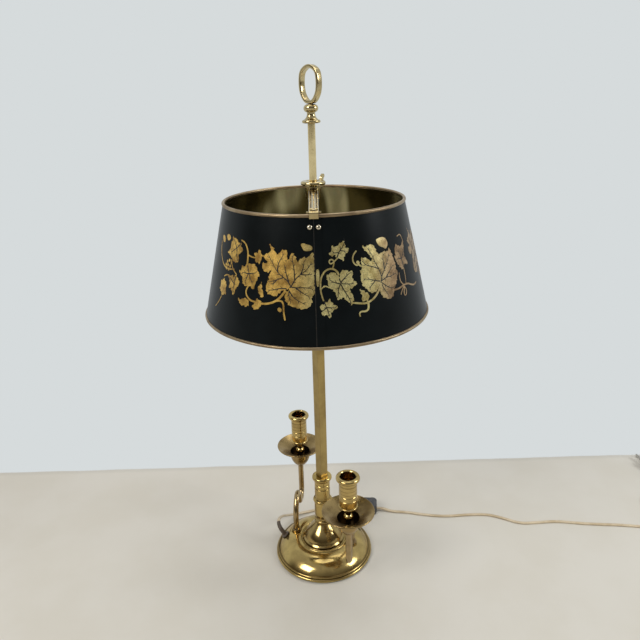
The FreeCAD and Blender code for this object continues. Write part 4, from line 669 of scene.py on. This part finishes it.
# Stems and tendrils: points, then width at the start and at the end.
stems = [
    ([
        (8, 470.5), (5.5, 478.5), (5, 487), (6, 496.5), (10.5, 503), (16.5, 505.5), (21.5, 504.5),
        (25.5, 501.5), (26.7, 497.5),
    ], 1.6, 2.2),
    ([
        (20, 505.5), (22.5, 511), (21, 515), (17.3, 515.2), (16, 512.5), (18, 510), (21.7, 512),
        (26.7, 516.5),
    ], 1.5, 1.5),
    ([(5.6, 483), (8, 486.5), (12.5, 486.5), (15, 484.5)], 1.2, 1.4),
    ([
        (38.5, 466), (47.5, 464), (55.5, 462.5), (64.5, 465), (71.5, 470.5), (76.5, 476.5), (79.5, 484),
        (83, 490),
    ], 2.0, 2.6),
    ([(58.5, 465), (59.5, 457.5), (55.5, 453.5), (49.5, 454.8), (46.3, 452.5), (47.8, 449)], 2.6, 1.4),
    ([
        (50.7, 522), (46.7, 519), (44.5, 513.5), (46, 508.5), (49.7, 505.5), (53, 508), (51, 511),
        (49, 508.5), (55.5, 504),
    ], 1.6, 1.8),
    ([
        (95, 470), (105.5, 469), (115.5, 471), (125.5, 471), (133.5, 467), (143.5, 464), (150, 466),
    ], 2.0, 2.0),
    ([(111.5, 487), (110.5, 480.5), (112.5, 474.5), (117, 471)], 1.4, 1.6),
    ([
        (108, 461.5), (113, 468), (118, 469.5), (121, 463), (117, 457.5), (113.5, 461.5), (117, 468),
    ], 1.4, 1.6),
    ([(122.5, 491), (124, 478.5), (121.7, 471.5)], 1.4, 1.6),
    ([(120, 528), (126, 530), (131, 527), (133, 519)], 1.3, 1.3),
    ([
        (-34, 482), (-39, 475), (-45, 469.5), (-53, 466), (-61, 464.5), (-71, 465.5), (-79, 466.5),
        (-84.5, 471.5), (-86, 477), (-82.5, 482),
    ], 2.6, 1.8),
    ([(-45, 469.5), (-39, 471), (-36, 466.5), (-36, 456.5), (-34, 448.8)], 2.0, 1.8),
    ([(-101, 531.5), (-95, 531), (-89, 524.5), (-86.5, 516.5), (-87, 505)], 1.6, 2.4),
    ([(-86.2, 516.5), (-80, 514.5), (-74, 515)], 1.6, 1.4),
    ([(-104, 492), (-109, 495), (-114, 499), (-117, 507)], 1.5, 1.5),
    ([(-117, 488), (-124, 489), (-129, 485)], 1.5, 1.4),
    ([(-109, 497), (-120, 495), (-131, 496), (-140, 502), (-148, 512), (-150, 524)], 1.5, 1.5),
    ([(-130, 461), (-136, 450), (-143, 445)], 1.3, 1.0),
]

berries = [
    (-116, 503.5), (-121, 505.5), (-125.5, 503.5), (-118.5, 499), (-123.5, 499.5), (-128, 499.5),
    (-121, 495), (-126, 495.5),
]
vine = dict(
    leafLift=0.10, veinLift=0.17, leafDepth=0.06, veinDepth=0.05, stripWidth=2.5, veinStart=1.4, veinEnd=0.6,
    sprigStart=0.85, sprigEnd=0.35, berryRadius=1.9, sideLeafShift=210, seamStep=0.62, lapWidth=9.4,
)
seamLine = ([(-0.1, 560.0), (-0.1, 419.9)], [(-1.1, 560.0), (-1.1, 419.9)])
tooth = dict(step=5.2, depth=1.9, spacing=0.8, least=0.7, swing=0.5, beat=0.37)
sprig = dict(step=4.2, reach=3.6, tipAlong=0.7, tipAside=0.7, bendAlong=0.3, bendAside=0.42)


def smoothLine(points, closed=False):
    # a NURBS curve through the given points gives the even line of a brush
    data = bpy.data.curves.new("brushLine", "CURVE")
    data.dimensions = "3D"
    addNurbs(data, [(*place, 0.0)[:3] for place in points], 5, closed=closed, reachEnds=not closed)
    obj = newObject("brushLine", data)
    bpy.context.view_layer.update()
    mesh = bpy.data.meshes.new_from_object(obj)
    line = [tuple(v.co) for v in mesh.vertices]
    bpy.data.objects.remove(obj)
    bpy.data.curves.remove(data)
    bpy.data.meshes.remove(mesh)
    return line


def toothed(line):
    # small teeth along a leaf's edge, leaning to one side as they do on a vine
    teeth, travelled = [], 0.0
    for here, after in zip(line, line[1:] + line[:1]):
        dx, dz = after[0] - here[0], after[1] - here[1]
        span = math.hypot(dx, dz) or 1.0
        pieces = max(int(span / tooth["spacing"]), 1)
        for piece in range(pieces):
            share = piece / pieces
            distance = travelled + span * share
            phase = distance / tooth["step"] % 1.0
            size = tooth["least"] + tooth["swing"] * math.sin(distance * tooth["beat"])
            push = tooth["depth"] * (phase - 0.5) * size
            teeth.append((here[0] + dx * share - dz / span * push, here[1] + dz * share + dx / span * push))
        travelled += span
    return teeth


def sideVeins(points):
    # short veinlets leave each main vein by turns on either side
    line, sprigs, travelled, side = smoothLine(points), [], 0.0, 1
    reach = sprig["reach"]
    for before, after in zip(line, line[1:]):
        dx, dz = after[0] - before[0], after[1] - before[1]
        span = math.hypot(dx, dz)
        travelled += span
        if travelled > sprig["step"] and span > 0:
            travelled, side = 0.0, -side
            ux, uz = dx / span, dz / span
            spots = [tuple(after[:2])]
            for along, aside in (("bendAlong", "bendAside"), ("tipAlong", "tipAside")):
                forward, outward = sprig[along], sprig[aside] * side
                x = after[0] + reach * (forward * ux - outward * uz)
                z = after[1] + reach * (forward * uz + outward * ux)
                spots.append((x, z))
            sprigs.append(spots)
    return sprigs


def ribbonOutline(points, startWidth, endWidth):
    line = smoothLine(points)
    lefts, rights = [], []
    for number, spot in enumerate(line):
        before = line[max(number - 1, 0)]
        after = line[min(number + 1, len(line) - 1)]
        dx, dz = after[0] - before[0], after[1] - before[1]
        span = math.hypot(dx, dz) or 1.0
        half = (startWidth + (endWidth - startWidth) * number / (len(line) - 1)) / 2
        lefts.append((spot[0] - dz / span * half, spot[1] + dx / span * half))
        rights.append((spot[0] + dz / span * half, spot[1] - dx / span * half))
    return lefts, rights


def onShade(across, height, lift):
    # wraps flat drawing millimetres onto the cone
    angle = across * mm / shade["meanRadius"]
    radius = shade["bottomRadius"] - shadeSlope * (height * mm - shade["bottomHeight"]) + lift * mm
    return Vector((radius * math.sin(angle), -radius * math.cos(angle), height * mm))


def seamLift(across):
    # the drawing steps up onto the lapped strip beside the seam
    return vine["seamStep"] if 0.0 < across < vine["lapWidth"] else 0.0


def cutAndWrap(obj, lift, depth, shift):
    # cuts a flat drawing into narrow upright strips, wraps it and gives it its thickness
    selectOnly(obj)
    bpy.ops.object.mode_set(mode="EDIT")
    low = min(v.co.x for v in obj.data.vertices)
    high = max(v.co.x for v in obj.data.vertices)
    width = high - low
    count = int(width / vine["stripWidth"])
    cuts = [low + width * (k + 1) / (count + 1) for k in range(count)]
    if low < 0 < high:
        cuts += [-0.01, 0.01]
    for cut in cuts:
        bpy.ops.mesh.select_all(action="SELECT")
        bpy.ops.mesh.bisect(plane_co=(cut, 0, 0), plane_no=(1, 0, 0))
    bpy.ops.object.mode_set(mode="OBJECT")
    for vertex in obj.data.vertices:
        x, z, _ = vertex.co
        step = seamLift(x) if shift == 0 else 0.0
        vertex.co = onShade(x + shift, z, lift + step)
    obj.data.update()
    thick = obj.modifiers.new("goldThickness", "SOLIDIFY")
    thick.thickness = depth * mm
    thick.offset = 1.0
    selectOnly(obj)
    bpy.ops.object.modifier_apply(modifier=thick.name)


def flatDrawing(name, outlines):
    # each outline becomes one filled face, or a band of faces where it is a ribbon
    corners, faces = [], []
    for outline in outlines:
        start = len(corners)
        if isinstance(outline, tuple):
            lefts, rights = outline
            corners += [(x, z, 0) for x, z in lefts + rights]
            count = len(lefts)
            for left in range(start, start + count - 1):
                faces.append((left, left + count, left + count + 1, left + 1))
        else:
            corners += [(x, z, 0) for x, z, *_ in outline]
            faces.append(tuple(range(start, start + len(outline))))
    mesh = bpy.data.meshes.new(name)
    mesh.from_pydata(corners, [], faces)
    mesh.validate()
    obj = newObject(name, mesh)
    selectOnly(obj)
    onWholeMesh(bpy.ops.mesh.quads_convert_to_tris, ngon_method="BEAUTY")
    return obj


def berryOutline(centre, sides=10):
    radius = vine["berryRadius"]
    angles = [2 * math.pi * k / sides for k in range(sides)]
    return [(centre[0] + radius * math.cos(angle), centre[1] + radius * math.sin(angle)) for angle in angles]


def movedAside(points):
    return [(x + vine["sideLeafShift"], z) for x, z in points]


halfRound = math.pi * shade["meanRadius"] / mm
for sideName, shift in (("Front", 0.0), ("Back", halfRound)):
    leaves = []
    for name, outline in leafOutlines.items():
        if shift and name == "seamLeaf":
            continue
        line = smoothLine(outline, closed=True)
        plainEdge = "Bud" in name or name == "seamLeaf"
        leaves.append(line if plainEdge else toothed(line))
    leaves.append(toothed(smoothLine(movedAside(leafOutlines["broadLeft"]), closed=True)))
    leaves += [berryOutline(centre) for centre in berries]
    ribbons = [ribbonOutline(*stem) for stem in stems]
    gold = flatDrawing("gilt" + sideName, leaves + ribbons)
    cutAndWrap(gold, vine["leafLift"], vine["leafDepth"], shift)
    gold.data.materials.append(gilding)
    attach(gold, "shade_carrier")
    routes = [line for group in veins.values() for line in group]
    routes += [movedAside(line) for line in veins["broadLeft"]]
    lines = [ribbonOutline(line, vine["veinStart"], vine["veinEnd"]) for line in routes]
    sprigs = [spots for line in routes for spots in sideVeins(line)]
    lines += [ribbonOutline(spots, vine["sprigStart"], vine["sprigEnd"]) for spots in sprigs]
    if not shift:
        lines.append(seamLine)
    dark = flatDrawing("veins" + sideName, lines)
    cutAndWrap(dark, vine["veinLift"], vine["veinDepth"], shift)
    dark.data.materials.append(veinPaint)
    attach(dark, "shade_carrier")
print("vine band done")


# Turned foot of the column, each corner as radius and height

footOutline = [
    (31.2, 25.25), (32.0, 26.0), (32.0, 27.4), (31.2, 28.4), (30.2, 28.9), (29.4, 30.4), (28.4, 33.5),
    (26.2, 38.0), (22.6, 43.2), (18.4, 47.8), (14.6, 51.6), (12.0, 54.6), (11.2, 56.0), (12.4, 56.5),
    (13.3, 57.6), (13.5, 59.0), (13.3, 60.4), (12.4, 61.4), (10.8, 62.0), (10.2, 63.6), (10.3, 66.0),
    (11.2, 68.6), (12.6, 70.2), (13.0, 71.15), (8.0, 71.15), (8.0, 25.25),
]
turning = dict(steps=128, smoothAngle=38)


def makeColumnFoot():
    # the photographed foot has a ring and a thin neck above its dome
    mesh = bpy.data.meshes.new("turnedFoot")
    count = len(footOutline)
    corners = [(radius * mm, 0, height * mm) for radius, height in footOutline]
    mesh.from_pydata(corners, [(k, (k + 1) % count) for k in range(count)], [])
    obj = newObject("turnedFoot", mesh)
    screw = obj.modifiers.new("turning", "SCREW")
    screw.steps = turning["steps"]
    screw.render_steps = turning["steps"]
    screw.use_merge_vertices = True
    selectOnly(obj)
    bpy.ops.object.modifier_apply(modifier=screw.name)
    onWholeMesh(bpy.ops.mesh.normals_make_consistent, inside=False)
    smoothBy(obj, turning["smoothAngle"])
    obj.data.materials.append(metal["footBrass"])
    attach(obj, "lamp_stand")
    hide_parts("column_foot")


makeColumnFoot()
print("foot done")


# Carrying ring

ring = dict(
    foot=677.0, halfBand=4.0, halfThick=2.0, turn=-45.0, stemRadius=3.0, stemRise=3.4, stemGap=0.05,
    stemSides=32, smoothAngle=40,
)
loopPoints = [(0, 2.4), (6.5, 3.0), (13.6, 12.5), (15.0, 25), (13.2, 37.0), (5.4, 42.0), (0, 43.1)]
barCorners = [(-0.9, -1), (0.9, -1), (1, -0.7), (1, 0.7), (0.9, 1), (-0.9, 1), (-1, 0.7), (-1, -0.7)]


def makeRing():
    # a loop bent from bar with worn, rounded edges
    section = bpy.data.curves.new("barSection", "CURVE")
    corners = [(x * ring["halfThick"] * mm, y * ring["halfBand"] * mm, 0) for x, y in barCorners]
    addNurbs(section, corners, 4, closed=True)
    sectionObj = newObject("barSection", section)
    line = loopPoints + [(-x, z) for x, z in reversed(loopPoints[1:-1])]
    obj = sweptCurve("ringLoop", [(x, z, 0) for x, z in line], 10, sectionObj, closed=True)
    selectOnly(obj)
    bpy.ops.object.convert(target="MESH")
    obj = bpy.context.object
    upright = (
        Matrix.Translation((0, 0, ring["foot"] * mm))
        @ Matrix.Rotation(math.radians(ring["turn"]), 4, "Z")
        @ Matrix.Rotation(math.radians(90), 4, "X")
    )
    obj.data.transform(upright)
    bpy.ops.object.select_all(action="DESELECT")
    rise = ring["stemRise"]
    bpy.ops.mesh.primitive_cylinder_add(
        vertices=ring["stemSides"], radius=ring["stemRadius"] * mm, depth=rise * mm,
    )
    stem = bpy.context.object
    stem.data.transform(Matrix.Translation((0, 0, (ring["foot"] + rise / 2 + ring["stemGap"]) * mm)))
    stem.select_set(True)
    obj.select_set(True)
    bpy.context.view_layer.objects.active = obj
    bpy.ops.object.join()
    bpy.data.objects.remove(sectionObj)
    smoothBy(obj, ring["smoothAngle"])
    obj.name = "ringLoop"
    obj.data.materials.clear()
    obj.data.materials.append(metal["knopBrass"])
    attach(obj, "lamp_stand")
    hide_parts("carrying_ring")


makeRing()
print("ring done")


# Lead

lead = dict(width=0.0054, lobe=0.0014, nearLength=0.1845, farLength=1.783)


def twinProfile():
    # two round conductors side by side under one skin
    data = bpy.data.curves.new("twinProfile", "CURVE")
    data.dimensions = "2D"
    spline = data.splines.new("POLY")
    half = lead["lobe"]
    centre = lead["width"] / 2 - half
    corners = []
    for sign in (1, -1):
        for k in range(-3, 4):
            angle = math.radians(k * 40) + (0 if sign > 0 else math.pi)
            corners.append((centre * sign + half * math.cos(angle), half * math.sin(angle)))
    spline.points.add(len(corners) - 1)
    for knot, (x, y) in zip(spline.points, corners):
        knot.co = (x, y, 0, 1)
    spline.use_cyclic_u = True
    obj = newObject("twinProfile", data)
    obj.hide_render = True
    return obj


profile = twinProfile()


def makeLeadVinyl():
    mat, tree, shader = newMaterial("leadVinyl")
    place = objectPlace(tree)
    clouds = stretch(tree, noiseOf(tree, place, scale=40.0, detail=3.0, roughness=0.6), 0.3, 0.7)
    wire(tree, shader, {
        "Base Color": mixColours(tree, clouds, (0.50, 0.39, 0.24), (0.66, 0.55, 0.38)),
        "Roughness": 0.38,
        "Coat Weight": 0.15,
    })
    grain = noiseOf(tree, place, scale=700.0, detail=2.0, roughness=0.5)
    bumpInto(tree, shader, grain, strength=0.1, distance=0.0003)
    return mat


leadVinyl = makeLeadVinyl()
flatZ = 1.45
switchMouth = {"near": (44.59, 93.46, 5.2), "far": (89.41, 89.54, 5.2)}
nearRoute = [
    (-63.44, 13.48, 19.70), (-68.9, 14.65, 26.8), (-73.5, 23, 31.5), (-74, 36, 31), (-70.5, 53, 23),
    (-60, 69, 11.5), (-43, 81, 4.6), (-20, 90.5, 1.8), (4, 96, 2.6), (27.65, 94.94, 5.2), switchMouth["near"],
]
farRoute = [
    switchMouth["far"], (106.35, 88.06, 5.2), (118, 83.5, flatZ), (148, 80, flatZ), (177, 71.5, flatZ),
    (212, 66, flatZ), (250, 69, flatZ), (284, 68.5, flatZ), (309, 57, flatZ), (333, 42.5, flatZ),
    (362, 44, flatZ), (396, 46, flatZ), (428, 39.5, flatZ), (462, 35, flatZ), (498, 32, flatZ),
    (532, 26, flatZ), (564, 22.5, flatZ), (590, 22.6, flatZ),
]
coil = dict(
    centre=(610, 71), outer=48.0, pitch=6.0, loopsPerLayer=2, pointsPerTurn=16, lowLayer=1.45,
    highLayer=4.6, climb=0.5,
)


def coilRoute():
    total = 2 * coil["loopsPerLayer"]
    route = []
    for number in range(total * coil["pointsPerTurn"] + 1):
        turns = number / coil["pointsPerTurn"]
        reach = coil["outer"] - coil["pitch"] * min(turns, total - turns)
        share = (turns - coil["loopsPerLayer"] + coil["climb"] / 2) / coil["climb"]
        share = min(max(share, 0.0), 1.0)
        rise = share * share * (3 - 2 * share)
        angle = math.radians(-90) + 2 * math.pi * turns
        x = coil["centre"][0] + reach * math.cos(angle)
        y = coil["centre"][1] + reach * math.sin(angle)
        route.append((x, y, coil["lowLayer"] + (coil["highLayer"] - coil["lowLayer"]) * rise))
    return route


tailRoute = [
    (632, 23.5, 4.6), (654, 30, 5), (672, 52, 3), (678, 82, 2.6), (668, 112, 5), (648, 140, 8.5),
    (640, 168, 8.5),
]
nearLead = sweptCurve("leadNear", nearRoute, 6, profile)
farLead = sweptCurve("leadFar", farRoute + coilRoute() + tailRoute, 6, profile)
nearLead.data.materials.append(leadVinyl)
farLead.data.materials.append(leadVinyl)
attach(nearLead, "lamp_stand")
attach(farLead, "lamp_stand")
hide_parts("cord_lead_near")
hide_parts("cord_lead_far", "cord_coil", "cord_tail")
print("lead done")

sleeve = dict(length=21.0, thick=3.7, thin=2.9, sides=20, smoothAngle=40)


def makeStrainRelief():
    # a rubber sleeve that thins out along the lead where it leaves the base
    line = [Vector(place) for place in smoothLine(nearRoute)]
    spots, travelled = [line[0]], 0.0
    for before, after in zip(line, line[1:]):
        travelled += (after - before).length
        spots.append(after)
        if travelled > sleeve["length"]:
            break
    sides = sleeve["sides"]
    corners, faces = [], []
    for number, spot in enumerate(spots):
        ahead = spots[min(number + 1, len(spots) - 1)] - spots[max(number - 1, 0)]
        turn = ahead.to_track_quat("Z", "X")
        share = number / (len(spots) - 1)
        radius = sleeve["thick"] + (sleeve["thin"] - sleeve["thick"]) * share
        for side in range(sides):
            angle = 2 * math.pi * side / sides
            corners.append(spot + turn @ Vector((radius * math.cos(angle), radius * math.sin(angle), 0)))
    for row in range(len(spots) - 1):
        for side in range(sides):
            a = row * sides + side
            b = row * sides + (side + 1) % sides
            faces.append((a, b, b + sides, a + sides))
    faces.append(tuple(reversed(range(sides))))
    last = (len(spots) - 1) * sides
    faces.append(tuple(last + side for side in range(sides)))
    mesh = bpy.data.meshes.new("strainRelief")
    mesh.from_pydata([tuple(corner * mm) for corner in corners], [], faces)
    obj = newObject("strainRelief", mesh)
    smoothBy(obj, sleeve["smoothAngle"])
    mesh.materials.append(brownRubber)
    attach(obj, "lamp_stand")
    return obj


strainRelief = makeStrainRelief()


# Floor, lights and camera

studio = dict(
    wall=(0.672, 0.708, 0.716), roomLow=(0.085, 0.075, 0.060), roomHigh=(0.42, 0.42, 0.42),
    fill=(0.40, 0.40, 0.405),
)
table = dict(
    reach=14.0, backLine=0.236, blur=0.004, fadeFrom=1.5, fadeTo=3.0, wave=0.006, shadeWidth=0.012,
    shadeShare=0.35, cream=(0.625, 0.590, 0.510), paleCream=(0.650, 0.618, 0.545),
    shadeTone=(0.45, 0.43, 0.38),
)


def makeFloorLook():
    # cream table in front; beyond the back line the wall's tone shows without any shading
    mat, tree, shader = newMaterial("floorLook")
    place = objectPlace(tree)
    waves = noiseOf(tree, place, scale=9.0, detail=3.0, roughness=0.5)
    depth = mathNode(tree, "MULTIPLY_ADD", waves, table["wave"], axesOf(tree, place)[1])
    backLine = table["backLine"]
    beyond = stretch(tree, depth, backLine, backLine + table["blur"])
    away = addNode(tree, "ShaderNodeVectorMath", {0: place}, operation="LENGTH").outputs["Value"]
    beyond = mathNode(tree, "MAXIMUM", beyond, stretch(tree, away, table["fadeFrom"], table["fadeTo"]))
    seamShade = stretch(tree, depth, backLine - table["shadeWidth"], backLine)
    mottled = stretch(tree, noiseOf(tree, place, scale=7.0, detail=5.0, roughness=0.55), 0.35, 0.65)
    cream = mixColours(tree, mottled, table["cream"], table["paleCream"])
    shaded = mathNode(tree, "MULTIPLY", seamShade, table["shadeShare"])
    cream = mixColours(tree, shaded, cream, table["shadeTone"])
    wire(tree, shader, {"Base Color": cream, "Roughness": 0.55})
    rays = addNode(tree, "ShaderNodeLightPath").outputs
    seen = mathNode(tree, "MAXIMUM", rays["Is Camera Ray"], rays["Is Glossy Ray"])
    seen = mathNode(tree, "MAXIMUM", seen, rays["Is Transmission Ray"])
    glow = addNode(tree, "ShaderNodeEmission", {"Color": studio["wall"], "Strength": 1.0})
    share = mathNode(tree, "MULTIPLY", seen, beyond)
    blend = addNode(tree, "ShaderNodeMixShader", {0: share, 1: shader.outputs[0], 2: glow.outputs[0]})
    tree.links.new(blend.outputs[0], tree.nodes["Material Output"].inputs["Surface"])
    return mat


bpy.ops.object.select_all(action="DESELECT")
bpy.ops.mesh.primitive_plane_add(size=table["reach"] * 2, location=(0, 0, 0))
floor = bpy.context.object
floor.name = "floor"
floor.data.materials.append(makeFloorLook())

world = bpy.data.worlds.new("studio")
bpy.context.scene.world = world
world.use_nodes = True
tree = world.node_tree
rays = addNode(tree, "ShaderNodeLightPath").outputs
seen = mathNode(tree, "MAXIMUM", rays["Is Camera Ray"], rays["Is Transmission Ray"])
direction = axesOf(tree, addNode(tree, "ShaderNodeTexCoord").outputs["Generated"])
# metal sees the pale wall behind the lamp and a dim room in front of it
backward = stretch(tree, direction[1], -0.20, 0.25)
upward = stretch(tree, direction[2], 0.15, 0.95)
room = mixColours(tree, upward, studio["roomLow"], studio["roomHigh"])
mirrored = mixColours(tree, backward, room, studio["wall"])
lighting = mixColours(tree, rays["Is Glossy Ray"], studio["fill"], mirrored)
shown = mixColours(tree, seen, lighting, studio["wall"])
wire(tree, tree.nodes["Background"], {"Color": shown, "Strength": 1.0})

lights = {
    "windowLeft": dict(place=(-1.6, -1.3, 1.9), size=1.1, power=30.0, colour=(1.0, 0.98, 0.95)),
    "windowRight": dict(place=(1.9, -0.4, 1.3), size=0.7, power=16.0, colour=(0.93, 0.97, 1.0)),
    "ceiling": dict(place=(0.2, 0.5, 2.4), size=1.6, power=14.0, colour=(1.0, 1.0, 1.0)),
}
aimPoint = Vector((0, 0, 0.3))
for name, light in lights.items():
    data = bpy.data.lights.new(name, "AREA")
    data.energy = light["power"]
    data.size = light["size"]
    data.color = light["colour"]
    lamp = newObject(name, data)
    lamp.location = light["place"]
    aim = aimPoint - Vector(light["place"])
    lamp.rotation_mode = "QUATERNION"
    lamp.rotation_quaternion = aim.to_track_quat("-Z", "Y")

view = dict(
    focal=590.7, pitch=20.77, roll=1.62, yaw=0.083, place=(0.0027, -0.7655, 0.6861), pixels=640, sensor=36.0,
)
camera = newObject("camera", bpy.data.cameras.new("camera"))
camera.data.sensor_width = view["sensor"]
camera.data.lens = view["focal"] / view["pixels"] * view["sensor"]
camera.data.clip_start = 0.01
camera.matrix_world = (
    Matrix.Translation(view["place"])
    @ Matrix.Rotation(math.radians(-view["yaw"]), 4, "Z")
    @ Matrix.Rotation(math.radians(90 - view["pitch"]), 4, "X")
    @ Matrix.Rotation(math.radians(-view["roll"]), 4, "Z")
)
bpy.context.scene.camera = camera
bpy.context.scene.view_settings.view_transform = "Standard"
print("floor, lights and camera done")
